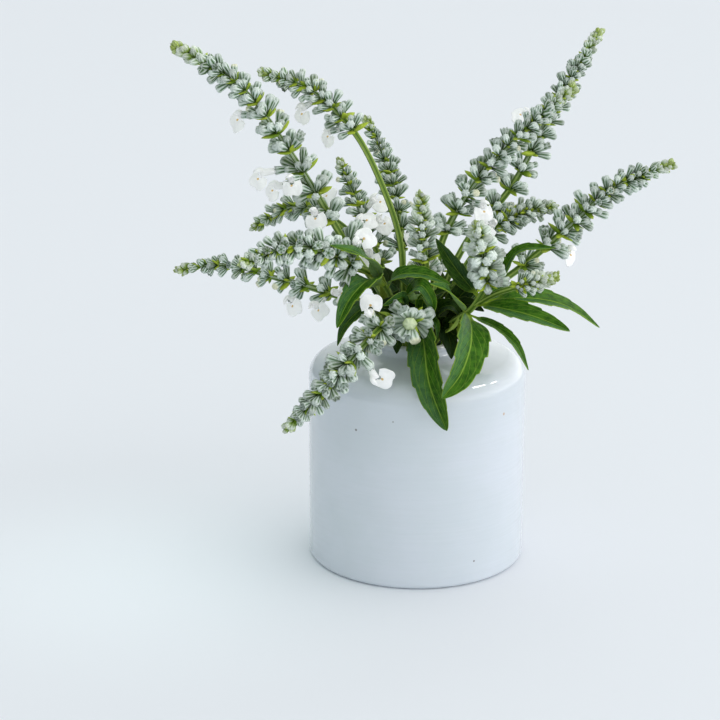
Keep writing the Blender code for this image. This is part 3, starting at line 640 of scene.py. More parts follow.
def makeGlaze():
    material, tree, shader = newShader("whiteGlaze", {
        "Roughness": 0.13, "IOR": 1.5, "Coat Weight": 0.35, "Coat Roughness": 0.05,
        "Subsurface Weight": 0.12, "Subsurface Scale": 0.004, "Subsurface Radius": (1.0, 0.9, 0.8),
    })
    place = objectPlace(tree)
    cloud, _ = mottle(tree, 0.03, 3.0, 0.3, 0.7)
    # throwing rings: noise stretched right round the vase
    flat = put(tree, "ShaderNodeMapping", {"Vector": place, "Scale": (30, 30, 700)})[0]
    rings = put(tree, "ShaderNodeTexNoise", {"Vector": flat, "Scale": 1.0, "Detail": 2.0})[0]
    ringed = smoothStep(tree, rings, 0.35, 0.7)
    base = layered(tree, vase["glaze"], (cloud, vase["shade"], 0.45), (ringed, vase["shade"], 0.12))
    # a few iron specks under the glaze
    for turn, height, size, rusty in vase["specks"]:
        turn = math.radians(turn)
        spot = Vector((vase["radius"] * math.cos(turn), vase["radius"] * math.sin(turn), height)) * mm
        dot = smoothStep(tree, apart(tree, place, spot), size * mm, 0.4 * size * mm)
        base = layered(tree, base, (dot, vase["rust" if rusty else "speck"], 0.8))
    # the glaze runs thin and warm over the lip
    start = vase["height"] - vase["lipDepth"]
    lip = smoothStep(tree, axes(tree, place)[2], start * mm, (start + 1) * mm)
    base = layered(tree, base, (lip, vase["lip"], 0.5))
    _, fine = mottle(tree, 0.006, 2.0)
    dress(tree, shader, base, (rings, 0.16, 0.0006), (fine, 0.06, 0.0006))
    return material


finishPiece(turned("vase_glazed", vaseProfile(), vase["steps"], [makeGlaze()]), "glaze", "vase")
print("vase turned")


# water: the solid from the frame, finished


def makeWater():
    material, tree, shader = newShader("stillWater", {
        "Base Color": (0.86, 0.93, 0.92), "Roughness": 0.02, "IOR": 1.33, "Transmission Weight": 1.0,
    })
    _, ripple = mottle(tree, 0.02, 1.0)
    bumpInto(tree, shader, ripple, 0.05, 0.0004)
    return material


water = frame["nodes"]["water"]
water.data.materials.clear()
water.data.materials.append(makeWater())


# stems: square with grooved sides, from the cut end to the tip of the spike


stem = {
    "halfDiagonal": 1.3, "footHeight": 5.5, "spread": 1.15, "rimHeight": 78.0, "freeHeight": 58.0,
    "tip": 0.35, "shoot": 0.75, "square": 0.13, "step": 2.0, "corners": 16,
    "groove": (0.035, 0.095, 0.008), "side": (0.17, 0.28, 0.035),
    "ridge": (0.42, 0.54, 0.13), "patch": (0.10, 0.20, 0.02),
    "felt": (0.42, 0.50, 0.38), "hairs": (0.26, 0.36, 0.20),
}


def fullWay(sprig):
    if "rim" not in sprig:
        return smoothWay(sprig["way"])
    x, y = sprig["rim"]
    foot = Vector((x * stem["spread"], y * stem["spread"], stem["footHeight"]))
    rim = Vector((x, y, stem["rimHeight"]))
    share = (stem["freeHeight"] - stem["footHeight"]) / (stem["rimHeight"] - stem["footHeight"])
    free = foot.lerp(rim, share)
    return [foot] + smoothWay([free, rim] + sprig["way"])


def splitWay(way, spikeLength):
    length = 0.0
    at = len(way) - 1
    while length < spikeLength:
        length += (way[at] - way[at - 1]).length
        at -= 1
    return way[: at + 1], resample(way[at:], 1.0)


def makeStemTree():
    inputs = [
        ("Geometry", "Geometry", None), ("Corners", "Int", 16), ("Square", "Float", 0.13),
        ("Material", "Material", None),
    ]
    tree, given, out = newTree("squareStem", "GeometryNodeTree", inputs, [("Geometry", "Geometry")])
    line = put(tree, "GeometryNodeMeshToCurve", {"Mesh": given["Geometry"]})[0]
    ring = put(tree, "GeometryNodeCurvePrimitiveCircle", {"Resolution": given["Corners"], "Radius": 1.0})
    place = put(tree, "GeometryNodeInputPosition")[0]
    parts = axes(tree, place)
    angle = times(tree, calc(tree, "ARCTAN2", parts[1], parts[0]), 4.0)
    corner = calc(tree, "COSINE", angle)
    swell = times(tree, calc(tree, "SUBTRACT", corner, 1.0), given["Square"])
    moved = scaled(tree, place, calc(tree, "ADD", swell, 1.0))
    shaped = put(tree, "GeometryNodeSetPosition", {"Geometry": ring[0], "Position": moved})[0]
    ridge = times(tree, calc(tree, "ADD", corner, 1.0), 0.5)
    kept = stored(tree, shaped, "ridge", ridge, "POINT")
    thick = named(tree, "thick", "FLOAT")
    sockets = {"Curve": line, "Profile Curve": kept, "Scale": thick, "Fill Caps": True}
    tube = put(tree, "GeometryNodeCurveToMesh", sockets)[0]
    smooth = put(tree, "GeometryNodeSetShadeSmooth", {0: tube})[0]
    return endTree(tree, smooth, given["Material"], out)


def makeStemGreen():
    material, tree, shader = newShader("stemGreen", {"Roughness": 0.5, "Specular IOR Level": 0.25})
    ridge = attribute(tree, "ridge")
    felted = attribute(tree, "felted")
    patch, _ = mottle(tree, 0.003, 3.0)
    hairs, fuzz = mottle(tree, 0.00035, 2.0, 0.4, 0.7)
    pale = blend(tree, hairs, stem["felt"], stem["hairs"])
    cover = times(tree, felted, smoothStep(tree, ridge, 0.2, 0.6))
    base = layered(
        tree, stem["groove"], (smoothStep(tree, ridge, 0.02, 0.35), stem["side"], 1),
        (smoothStep(tree, ridge, 0.55, 0.92), stem["ridge"], 1), (patch, stem["patch"], 0.3),
        (cover, pale, 0.85),
    )
    dress(tree, shader, base, (fuzz, 0.25, 0.0002))
    return material


stemTree = makeStemTree()
stemGreen = makeStemGreen()


def makeStemPiece(name, lines):
    mesh = bpy.data.meshes.new(name)
    verts, edges, thick, felted = [], [], [], []
    for points, start, end, bare in lines:
        first = len(verts)
        for k, point in enumerate(points):
            share = k / (len(points) - 1)
            verts.append(point * mm)
            thick.append((start + (end - start) * max(0.0, (share - bare) / (1 - bare))) * mm)
            felted.append(clamped((share - bare) * 20))
        edges += [(first + k, first + k + 1) for k in range(len(points) - 1)]
    mesh.from_pydata(verts, edges, [])
    carry(mesh, "thick", "FLOAT", thick)
    carry(mesh, "felted", "FLOAT", felted)
    source = newPiece(name + "_line", mesh)
    values = {"Corners": stem["corners"], "Square": stem["square"], "Material": stemGreen}
    return grow(name, source, stemTree, values)


# spikes: whorls of mealy calyces, each whorl two opposite fans


spike = {
    "crowding": 0.9, "lean": 70.0, "leanTip": 44.0, "fanStep": 33.0, "width": 0.145, "rootGap": 0.5,
    "scatter": 0.09, "seed": 11,
    # degrees that a calyx strays, how much steeper the inner ones stand, mm they sit off their whorl
    "stray": 9, "steeper": 17, "offset": 0.9,
    # share of the spike above which all are buds, and how many stand at its very tip
    "budsFrom": 0.82, "tipBuds": 7,
}

calyx = {
    "sides": 12, "ribs": 6, "relief": 0.12,
    # how wide a closed calyx is at each share of its length
    "heights": [0.0, 0.2, 0.52, 0.85, 0.97], "girths": [0.24, 0.42, 0.76, 1.0, 0.78],
    "rib": (0.84, 0.91, 0.86), "body": (0.38, 0.50, 0.40), "groove": (0.06, 0.13, 0.035),
    # root: the dark green at the stalk end, partly its own colour and partly painted shade
    "dusty": (0.26, 0.36, 0.26), "root": (0.06, 0.13, 0.015),
    "greener": (0.24, 0.35, 0.15), "cream": (0.75, 0.70, 0.42),
    # the young ones from foot to head, and the tip of the spike
    "young": (0.24, 0.36, 0.05), "head": (0.80, 0.87, 0.74), "tip": (0.42, 0.54, 0.09),
    "bract": (0.13, 0.25, 0.015), "bractLight": (0.24, 0.37, 0.03),
    "bractTip": (0.38, 0.48, 0.06), "bright": (0.42, 0.54, 0.05), "dry": (0.17, 0.12, 0.03),
}


def whorlPlaces(sprig, length):
    low = sprig.get("low", 0.0)
    count = sprig["whorls"] - (1 if low else 0)
    steps = [spike["crowding"] ** k for k in range(count)]
    start = low + sprig.get("bare", 0.0)
    unit = (length - start) / (sum(steps) + 0.3)
    found = [1.2] if low else []
    at = start + 0.3 * unit
    for step in steps:
        found.append(at)
        at += step * unit
    return found


def calyxSize(share, largest):
    return largest * (1.0 - 0.24 * share - 0.42 * share**3)


# the way out from a line at a turn round it, and the way that leans from the line toward it
def outFrom(ahead, turn, lean=0.0):
    side = ahead.cross(Vector((0.2, 0.1, 1.0))).normalized()
    outward = toward(side, ahead.cross(side), turn)
    return outward, toward(ahead, outward, lean)


# every calyx and bract as (root, direction, length, girth, kind, young), and every flower
# kind: 0 a bud, 1 a closed calyx, 2 an open one, 3 a bract
def planSpike(name, line, sprig):
    chance = random.Random(f"{name} {spike['seed']}")
    youth = sprig.get("youth", 0.0)
    ripe = sprig.get("ripe", 1.05)
    plump = sprig.get("plump", 1.0)
    stray, offset, budsFrom = spike["stray"], spike["offset"], spike["budsFrom"]
    length = len(line) - 1
    flowers = []
    for distance, looks, *longer in sprig.get("flowers", []):
        centre, ahead = pointAt(line, distance)
        outward = squareTo(ahead, Vector(looks))
        lean = math.radians(spike["lean"] - 4)
        direction = toward(ahead, outward, lean)
        size = calyxSize(distance / length, sprig["calyx"])
        flowers.append((centre + outward * spike["rootGap"], direction, ahead, size, sum(longer)))
    calyces = []
    bracts = []
    for whorl, distance in enumerate(whorlPlaces(sprig, length)):
        centre, ahead = pointAt(line, distance)
        share = distance / length
        size = calyxSize(share, sprig["calyx"])
        leanHere = sprig.get("lean", spike["lean"])
        leanHere += (spike["leanTip"] - leanHere) * max(share**1.6, 0.3 * youth)
        count = sprig["fan"] - (1 if share > 0.6 else 0) - (1 if share > budsFrom else 0)
        for fan in (0, 180):
            for k in range(count):
                turn = fan + 90 * whorl + spike["fanStep"] * (k - (count - 1) / 2)
                turn = math.radians(turn + chance.uniform(-stray, stray))
                inner = k % 2
                lean = leanHere - spike["steeper"] * inner + chance.uniform(-stray, stray) * (1 + share)
                outward, direction = outFrom(ahead, turn, math.radians(lean))
                root = centre + outward * spike["rootGap"] + ahead * chance.uniform(-offset, offset)
                long = size * chance.uniform(0.82, 1.06) * (0.9 if inner else 1.0)
                girth = long * (spike["width"] + 0.03 * share) * chance.uniform(0.88, 1.12)
                girth *= plump
                young = min(ripe, max(1.2 * youth * share, (share - 0.85) / 0.12))
                young += chance.uniform(-0.12, 0.12)
                kind = 0 if share > budsFrom - 0.3 * youth else 1
                if kind == 0:
                    long *= 0.9
                    girth = long * 0.29 * (0.5 + 0.5 * plump)
                if kind == 1 and chance.random() < sprig.get("open", 0.1):
                    kind = 2
                near = any((root - f[0]).length < 3.5 and direction.dot(f[1]) > 0.93 for f in flowers)
                if not near:
                    calyces.append((root, direction, long, girth, kind, young))
            for edge in (-1, 0, 1) if youth > 0.3 else (-1, 1):
                turn = math.radians(fan + 90 * whorl + edge * chance.uniform(25, 80))
                lean = math.radians(leanHere + chance.uniform(4, 20))
                _, direction = outFrom(ahead, turn, lean)
                long = size * chance.uniform(0.5, 0.8)
                bright = chance.uniform(0.35, 0.8) + 0.4 * youth
                wide = long * chance.uniform(0.2, 0.42)
                bracts.append((centre - ahead * 0.8, direction, long, wide, 3, bright))
    # the closed buds at the very tip, then the calyx that each flower comes out of
    tip, ahead = line[-1], (line[-1] - line[-3]).normalized()
    bud = sprig.get("endBud", 0)
    if bud:
        calyces.append((tip - ahead * bud, ahead, bud, bud * 0.42, 0, 1.0))
    for k in range(0 if bud else spike["tipBuds"]):
        outward, _ = outFrom(ahead, k * 2.4)
        direction = (ahead + outward * (0.1 + 0.17 * k)).normalized()
        root = tip - ahead * (1.7 + 0.4 * k) + outward * 0.1 * k
        calyces.append((root, direction, 2.7, 0.62, 0, ripe))
    for root, direction, _, size, _ in flowers:
        calyces.append((root, direction, size * 1.05, size * spike["width"] * 1.15, 2, 0.0))
    return calyces, bracts, flowers


# one unit long on Z and one in radius, with a UV map round it for the ribs
def makeCalyxShape(name, heights, girths, scallop, relief, bend=0.0):
    sides = calyx["sides"]
    shape = bmesh.new()
    uvs = shape.loops.layers.uv.new("UVMap")
    rings = []
    for level, (height, girth) in enumerate(zip(heights, girths)):
        row = []
        for k in range(sides):
            angle = math.tau * k / sides
            odd = 1 if k % 2 else -1
            edge = scallop * odd * (level / (len(heights) - 1)) ** 4
            wide = girth * (1 - relief * odd * math.sin(math.pi * min(1.0, 0.15 + height * 0.75)))
            across = wide * math.cos(angle) + bend * height**2
            row.append(shape.verts.new((across, wide * math.sin(angle), height + edge)))
        rings.append(row)
    for level, (low, high) in enumerate(zip(rings, rings[1:])):
        for k in range(sides):
            n = (k + 1) % sides
            u, after = k / sides, (k + 1) / sides
            v, above = heights[level], heights[level + 1]
            places = [(u, v), (after, v), (after, above), (u, above)]
            addFace(shape, (low[k], low[n], high[n], high[k]), uvs, places)
    tip = shape.verts.new((bend, 0, 1.0 if scallop == 0 else heights[-1] - 0.26))
    foot = shape.verts.new((0, 0, 0))
    for k in range(sides):
        n = (k + 1) % sides
        u, middle, after = k / sides, (k + 0.5) / sides, (k + 1) / sides
        places = [(u, 1.0), (after, 1.0), (middle, 0.1 if scallop else 1.0)]
        addFace(shape, (rings[-1][k], rings[-1][n], tip), uvs, places)
        addFace(shape, (rings[0][n], rings[0][k], foot), uvs, [(after, 0.0), (u, 0.0), (middle, 0.0)])
    return bpy.data.objects.new(name, toMesh(shape, name))


def makeShapes():
    holder = bpy.data.collections.new("calyxShapes")
    relief = calyx["relief"]
    bud = makeCalyxShape("aBud", [0.0, 0.22, 0.56, 0.86], [0.5, 0.9, 1.0, 0.62], 0, 0.06)
    club = makeCalyxShape("bClub", calyx["heights"], calyx["girths"], 0, relief)
    opened = makeCalyxShape("cOpen", [0.0, 0.2, 0.5, 0.8, 0.97], [0.24, 0.44, 0.78, 1.0, 1.12], 0.035, relief)
    bract = makeCalyxShape("dBract", [0.0, 0.25, 0.55, 0.82], [0.4, 0.9, 1.0, 0.6], 0, 0, -1.5)
    for obj in (bud, club, opened, bract):
        holder.objects.link(obj)
    return holder


def makeWhorlTree():
    inputs = [
        ("Geometry", "Geometry", None), ("Shapes", "Collection", None), ("Scatter", "Float", 0.1),
        ("Seed", "Int", 1), ("Material", "Material", None),
    ]
    tree, given, out = newTree("whorls", "GeometryNodeTree", inputs, [("Geometry", "Geometry")])
    sockets = {"Collection": given["Shapes"], "Separate Children": True, "Reset Children": True}
    shapes = put(tree, "GeometryNodeCollectionInfo", sockets)[0]
    spin = put(tree, "FunctionNodeEulerToRotation", {0: named(tree, "turn", "FLOAT_VECTOR")})[0]
    least = calc(tree, "SUBTRACT", 1.0, given["Scatter"])
    most = calc(tree, "ADD", 1.0, given["Scatter"])
    sockets = {0: least, 1: most, "Seed": given["Seed"]}
    change = put(tree, "FunctionNodeRandomValue", sockets, data_type="FLOAT_VECTOR")[0]
    sockets = {0: named(tree, "size", "FLOAT_VECTOR"), 1: change}
    scale = put(tree, "ShaderNodeVectorMath", sockets, operation="MULTIPLY")[0]
    sockets = {
        "Points": given["Geometry"], "Instance": shapes, "Pick Instance": True,
        "Instance Index": named(tree, "kind", "INT"), "Rotation": spin, "Scale": scale,
    }
    placed = put(tree, "GeometryNodeInstanceOnPoints", sockets)[0]
    tint = put(tree, "FunctionNodeRandomValue", {"Seed": given["Seed"]}, data_type="FLOAT")[1]
    return endTree(tree, stored(tree, placed, "tint", tint, "INSTANCE"), given["Material"], out)


def makeMealy():
    material, tree, shader = newShader("mealyFelt", {"Roughness": 0.85, "Specular IOR Level": 0.1})
    mask, height = ribs(tree, calyx["ribs"], 0.7)
    tint = attribute(tree, "tint")
    young = attribute(tree, "young")
    along = uvAxes(tree)[1]
    mealAndPaintedLight, fuzz = mottle(tree, 0.0003, 3.0, 0.35, 0.62)
    blotch, _ = mottle(tree, 0.0014, 2.0)
    # painted light: the sprig's share of white laid over ribs and grooves so that its calyces look more
    # brightly lit
    thick = attribute(tree, "mealAndPaintedLight")
    whiter = smoothStep(tree, along, 0.72, 0.95)
    body = blend(tree, smoothStep(tree, tint, 0.5, 0.0), calyx["body"], calyx["greener"])
    crest = calc(tree, "MAXIMUM", smoothStep(tree, height, 0.55, 0.9), calc(tree, "MAXIMUM", whiter, thick))
    pale = layered(tree, body, (crest, calyx["rib"], 0.9), (mealAndPaintedLight, calyx["body"], 0.3))
    deep = blend(tree, times(tree, blotch, 0.35), calyx["groove"], calyx["dusty"])
    cover = calc(tree, "ADD", mask, times(tree, calc(tree, "MAXIMUM", whiter, thick), 0.7))
    base = blend(tree, calc(tree, "MINIMUM", cover, 1.0), deep, pale)
    # the stalk end is dark green, partly its own colour and partly painted shade where the calyces crowd at
    # the stem; some ends are cream, and young buds are yellow-green
    old = times(tree, calc(tree, "GREATER_THAN", tint, 0.96), smoothStep(tree, along, 0.75, 1.0))
    light = layered(
        tree, calyx["young"], (smoothStep(tree, along, 0.35, 0.8), calyx["head"], 1),
        (smoothStep(tree, young, 0.85, 1.15), calyx["tip"], 1),
    )
    base = layered(
        tree, base, (smoothStep(tree, along, 0.5, 0.12), calyx["root"], 1), (old, calyx["cream"], 0.6),
        (smoothStep(tree, young, 0.0, 0.8), light, 0.85),
    )
    shade = put(tree, "ShaderNodeMapRange", {"Value": tint, "To Min": 0.74, "To Max": 1.14})[0]
    base = scaled(tree, base, shade)
    dress(tree, shader, base, (height, 0.8, 0.0003), (fuzz, 0.4, 0.0002))
    return material


def makeBractGreen():
    material, tree, shader = newShader("bractGreen", {"Roughness": 0.55, "Specular IOR Level": 0.2})
    along = uvAxes(tree)[1]
    patch, height = mottle(tree, 0.0008, 3.0)
    young = attribute(tree, "young")
    base = layered(
        tree, calyx["bract"], (patch, calyx["bractLight"], 0.6),
        (smoothStep(tree, along, 0.5, 0.95), calyx["bractTip"], 1),
        (smoothStep(tree, young, 0.5, 0.75), calyx["bright"], 1),
        (smoothStep(tree, young, 0.25, 0.1), calyx["dry"], 1),
    )
    dress(tree, shader, base, (height, 0.3, 0.0003))
    return material


whorlTree = makeWhorlTree()
calyxShapes = makeShapes()
mealyFelt = makeMealy()
bractGreen = makeBractGreen()


def makeWhorls(name, planned, material, seed, flat=1.0, mealAndPaintedLight=0.0):
    mesh = bpy.data.meshes.new(name)
    mesh.from_pydata([root * mm for root, *_ in planned], [], [])
    turns, sizes = [], []
    for _, direction, long, girth, _, _ in planned:
        turns += list(direction.to_track_quat("Z", "Y").to_euler())
        sizes += [girth * mm, girth * mm * flat, long * mm]
    carry(mesh, "turn", "FLOAT_VECTOR", turns)
    carry(mesh, "size", "FLOAT_VECTOR", sizes)
    carry(mesh, "kind", "INT", [p[4] for p in planned])
    carry(mesh, "young", "FLOAT", [p[5] for p in planned])
    carry(mesh, "mealAndPaintedLight", "FLOAT", [mealAndPaintedLight] * len(planned))
    source = newPiece(name + "_points", mesh)
    values = {"Shapes": calyxShapes, "Scatter": spike["scatter"], "Seed": seed, "Material": material}
    return grow(name, source, whorlTree, values)


# flowers: a tube, a broad lobed lip that hangs from it and a small hood over its mouth


flower = {
    "tube": 6.0, "tubeRadius": 0.9, "throatRadius": 1.5, "lip": 5.4, "lipTurn": 104, "notch": 0.13,
    "hood": 2.8, "hoodWidth": 1.3, "thickness": 0.16, "front": 0.6,
    "white": (0.96, 0.97, 0.96), "vein": (0.88, 0.91, 0.86), "mark": (0.60, 0.36, 0.08),
    # painted light: how strongly the petals glow
    "glow": 0.09,
}


# a sheet of faces, where placeAt gives the place and the mark of each corner
def sheet(shape, layer, rows, columns, placeAt):
    grid = []
    for k in range(rows):
        row = []
        for n in range(columns):
            place, mark = placeAt(k, n)
            row.append(shape.verts.new(place * mm))
            row[-1][layer] = mark
        grid.append(row)
    skin(shape, grid)


def lobe(angle):
    wide = abs(angle)
    size = 1.0 - 0.4 * smooth01((wide - 45) / 55)
    size -= flower["notch"] * math.exp(-((angle / 14) ** 2))
    return size - 0.07 * math.exp(-(((wide - 60) / 13) ** 2))


def addFlower(shape, layer, root, direction, ahead, size, longer, chance):
    tipward = squareTo(direction, ahead)
    across = direction.cross(tipward).normalized()
    throat = root + direction * (size * 0.55 + flower["tube"] * 0.7 + longer)
    start = root + direction * size * 0.5

    def tubePlace(k, n):
        t = min(k, 6) / 6
        radius = flower["tubeRadius"] + (flower["throatRadius"] - flower["tubeRadius"]) * t**2
        radius = radius if k < 7 else 0.1
        angle = math.tau * n / 16
        side = across * math.cos(angle) * radius * (1 - 0.1 * t) + tipward * math.sin(angle) * radius
        return start.lerp(throat, t) + side, 0.15 * t

    sheet(shape, layer, 8, 17, tubePlace)
    # the lip: angle round the mouth, radius out from it, hanging and rolled back at its edge
    lipUp = direction * 0.45 + tipward * 0.35 + Vector((0, -1, 0.25)) * flower["front"]
    lipUp.normalize()
    lipWay = squareTo(lipUp, direction * 0.6 - tipward * 0.8)
    wideWay = lipWay.cross(lipUp)
    mouth = throat - tipward * flower["throatRadius"] * 0.8
    reach = flower["lip"] * chance.uniform(0.92, 1.08)
    roll = chance.uniform(0.02, 0.06)
    swing = chance.uniform(0, 6)

    def lipPlace(k, n):
        t = k / 9
        angle = flower["lipTurn"] * (n / 24 - 1)
        turn = math.radians(angle)
        out = 0.9 + (reach * lobe(angle) - 0.9) * t
        wide = out * math.sin(turn)
        down = out * math.cos(turn)
        bulge = 0.5 * math.exp(-((t - 0.25) / 0.2) ** 2) * math.cos(turn)
        ruffle = 0.35 * t**2 * math.sin(turn * 4.5 + swing)
        lift = bulge + ruffle - roll * (down * abs(down) * 0.9 + 0.45 * wide**2)
        mark = max(0.0, 1 - abs(angle) / 45) * math.exp(-((t - 0.1) / 0.16) ** 2)
        return mouth + wideWay * wide + lipWay * down + lipUp * lift, mark

    sheet(shape, layer, 10, 49, lipPlace)
    # the hood: an arched spoon that leans over the mouth
    hoodWay = (direction + tipward * 0.55).normalized()
    hoodUp = squareTo(hoodWay, tipward)
    base = throat - direction * 0.8 + tipward * flower["throatRadius"] * 0.35

    def hoodPlace(k, n):
        t = k / 7
        half = flower["hoodWidth"] * math.sqrt(max(0.02, 1 - (t * 0.98) ** 3)) * (0.85 + 0.3 * t)
        turn = math.radians(100 * (n / 4 - 1))
        place = base + hoodWay * flower["hood"] * t + across * half * math.sin(turn)
        return place + hoodUp * (half * math.cos(turn) - 1.4 * t**2), 0.0

    sheet(shape, layer, 8, 9, hoodPlace)


def makePetal():
    material, tree, shader = newShader("whitePetal", {
        "Roughness": 0.6, "Subsurface Weight": 0.4, "Subsurface Scale": 0.0012, "Specular IOR Level": 0.3,
        "Subsurface Radius": (1.0, 1.0, 0.9), "Emission Strength": flower["glow"],
    })
    mark = attribute(tree, "mark")
    patch, height = mottle(tree, 0.0009, 3.0)
    nectar = smoothStep(tree, mark, 0.25, 0.8)
    base = layered(tree, flower["white"], (patch, flower["vein"], 0.35), (nectar, flower["mark"], 1))
    dress(tree, shader, base, (height, 0.35, 0.0003))
    # painted light: the petals glow with their own colour, standing in for light let through the thin petals
    tree.links.new(base, shader.inputs["Emission Color"])
    return material


whitePetal = makePetal()


def makeFlowers(name, flowers):
    chance = random.Random(name)
    shape = bmesh.new()
    layer = shape.verts.layers.float.new("mark")
    for planned in flowers:
        addFlower(shape, layer, *planned, chance)
    piece = newPiece(name, toMesh(shape, name), [whitePetal])
    thicken(piece, flower["thickness"])
    return settle(name, piece)


# leaves: a toothed lance blade, folded along its midrib and quilted between its veins


leaf = {
    "stations": 56, "columns": 8, "thickness": 0.3, "fold": 0.36, "teeth": 7, "toothDepth": 0.17,
    "veins": 7, "forward": 0.4, "quilt": 0.2, "wave": 0.09, "stalk": 0.14,
    "upper": (0.013, 0.07, 0.002), "upperLight": (0.055, 0.165, 0.008),
    # paintedSheen: a painted blue-green reflection of the sky on one half of the upper face
    "cells": (0.075, 0.20, 0.010), "paintedSheen": (0.10, 0.22, 0.12),
    "vein": (0.24, 0.40, 0.05), "rim": (0.32, 0.47, 0.05),
    "under": (0.15, 0.27, 0.08), "underLight": (0.23, 0.36, 0.13),
    "underVein": (0.36, 0.46, 0.18),
    "young": (0.36, 0.46, 0.06), "foot": (0.36, 0.52, 0.05),
}


def leafWidth(share, blunt):
    stalk = leaf["stalk"]
    if share < stalk:
        return 0.14 + 0.1 * (share / stalk)
    along = (share - stalk) / (1.0 - stalk)
    body = math.sin(math.pi * along ** (0.72 + 0.22 * blunt)) ** (0.8 - 0.28 * blunt)
    return 0.24 * (1 - along) ** 2 + body * 0.92 + 0.015


def addLeaf(shape, layers, data, chance):
    uvs, shades, youths = layers
    line = smoothWay(data["way"])
    count = leaf["stations"]
    columns = leaf["columns"]
    phase = chance.uniform(0, 6)
    grid = []
    for k in range(count + 1):
        share = k / count
        point, ahead = pointAt(line, share * (len(line) - 1) * 0.9999)
        up = squareTo(ahead, Vector(data["face"]))
        across = ahead.cross(up)
        half = data["width"] / 2 * leafWidth(share, data["blunt"])
        row = []
        for n in range(-columns, columns + 1):
            u = n / columns
            saw = (share * leaf["teeth"] + (0.3 if n > 0 else 0.0)) % 1.0
            grown = clamped((share - 0.3) * 8) * clamped((0.9 - share) * 6)
            tooth = 1 + leaf["toothDepth"] * grown * (saw - 0.6) * abs(u) ** 6
            slant = (share - leaf["forward"] * abs(u)) * leaf["veins"]
            vein = abs(slant - round(slant)) * 2
            rise = leaf["quilt"] * (vein**0.6 - 0.6) * math.sin(math.pi * min(1.0, abs(u)))
            rise *= min(1.0, half / 3)
            wave = leaf["wave"] * half * math.sin(share * 11 + phase + (1.5 if n > 0 else 0)) * u * u
            fold = leaf["fold"] * half * (abs(u) ** 1.2)
            place = point + across * half * u * tooth * 0.96 + up * (fold + wave + rise)
            vert = shape.verts.new(place * mm)
            vert[shades] = data["shade"]
            vert[youths] = data["young"]
            row.append(vert)
        grid.append(row)
    skin(shape, grid, uvs)


def makeLeafSide(name, isUpper):
    roughness = 0.42 if isUpper else 0.6
    material, tree, shader = newShader(name, {"Roughness": roughness, "Specular IOR Level": 0.1})
    parts = uvAxes(tree)
    out = calc(tree, "ABSOLUTE", calc(tree, "SUBTRACT", times(tree, parts[0], 2.0), 1.0))
    patch, fine = mottle(tree, 0.0022, 4.0)
    cells, grain = mottle(tree, 0.00045, 3.0)
    # side veins leave the midrib and bend forward
    slant = calc(tree, "SUBTRACT", parts[1], times(tree, out, leaf["forward"]))
    slant = calc(tree, "ADD", times(tree, slant, leaf["veins"]), times(tree, fine, 0.25))
    gap = calc(tree, "ABSOLUTE", calc(tree, "SUBTRACT", calc(tree, "FRACT", slant), 0.5))
    side = times(tree, smoothStep(tree, gap, 0.44, 0.495), smoothStep(tree, out, 0.96, 0.7))
    middle = smoothStep(tree, out, 0.08, 0.02)
    if isUpper:
        # painted sheen: a blue-green cast over one half of the upper face, standing in for the sky's
        # reflection
        paintedSheen = times(tree, smoothStep(tree, parts[0], 0.5, 0.7), times(tree, grain, 0.6))
        base = layered(
            tree, leaf["upper"], (patch, leaf["upperLight"], 1), (cells, leaf["cells"], 0.3),
            (paintedSheen, leaf["paintedSheen"], 1), (side, leaf["vein"], 0.7),
        )
    else:
        base = layered(tree, leaf["under"], (patch, leaf["underLight"], 1), (side, leaf["underVein"], 0.6))
    # a fold line that runs beside the margin
    fold = smoothStep(tree, calc(tree, "ABSOLUTE", calc(tree, "SUBTRACT", out, 0.7)), 0.06, 0.02)
    margin = smoothStep(tree, out, 0.92, 0.99)
    base = layered(
        tree, base, (middle, leaf["vein"], 0.85), (fold, leaf["vein"], 0.2), (margin, leaf["rim"], 0.6),
        (attribute(tree, "young"), leaf["young"], 0.85),
    )
    shade = calc(tree, "SUBTRACT", 1.0, times(tree, attribute(tree, "shade"), 0.9))
    base = scaled(tree, base, shade)
    base = layered(tree, base, (smoothStep(tree, parts[1], 0.2, 0.05), leaf["foot"], 1))
    height = calc(tree, "SUBTRACT", times(tree, grain, 0.5), calc(tree, "MAXIMUM", side, middle))
    dress(tree, shader, base, (height, 0.6 if isUpper else 0.3, 0.0004))
    return material


leafSides = [makeLeafSide("leafUpper", True), makeLeafSide("leafUnder", False)]


def makeLeaves(name, wanted):
    chance = random.Random(name)
    shape = bmesh.new()
    layers = [shape.loops.layers.uv.new("UVMap")]
    layers += [shape.verts.layers.float.new("shade"), shape.verts.layers.float.new("young")]
    for data in wanted:
        addLeaf(shape, layers, data, chance)
    piece = newPiece(name, toMesh(shape, name), leafSides)
    wall = thicken(piece, leaf["thickness"])
    wall.material_offset = 1
    wall.material_offset_rim = 0
    return settle(name, piece)


# a pair of small leaves that rise from a stem and arch outward
def leafPair(name, line):
    height, length, turn = pairs[name]
    k = min(range(1, len(line) - 1), key=lambda n: abs(line[n].z - height))
    ahead = (line[k + 1] - line[k - 1]).normalized()
    found = []
    for half in (0, math.pi):
        outward, _ = outFrom(ahead, math.radians(turn) + half)
        middle = line[k] + ahead * length * 0.42 + outward * length * 0.22
        tip = line[k] + ahead * length * 0.72 + outward * length * 0.68
        face = ahead * 0.5 - outward + Vector((0, 0, 0.4))
        found.append(blade([line[k], middle, tip], length * 0.33, face, shade=0.6))
    return found


# every sprig in turn


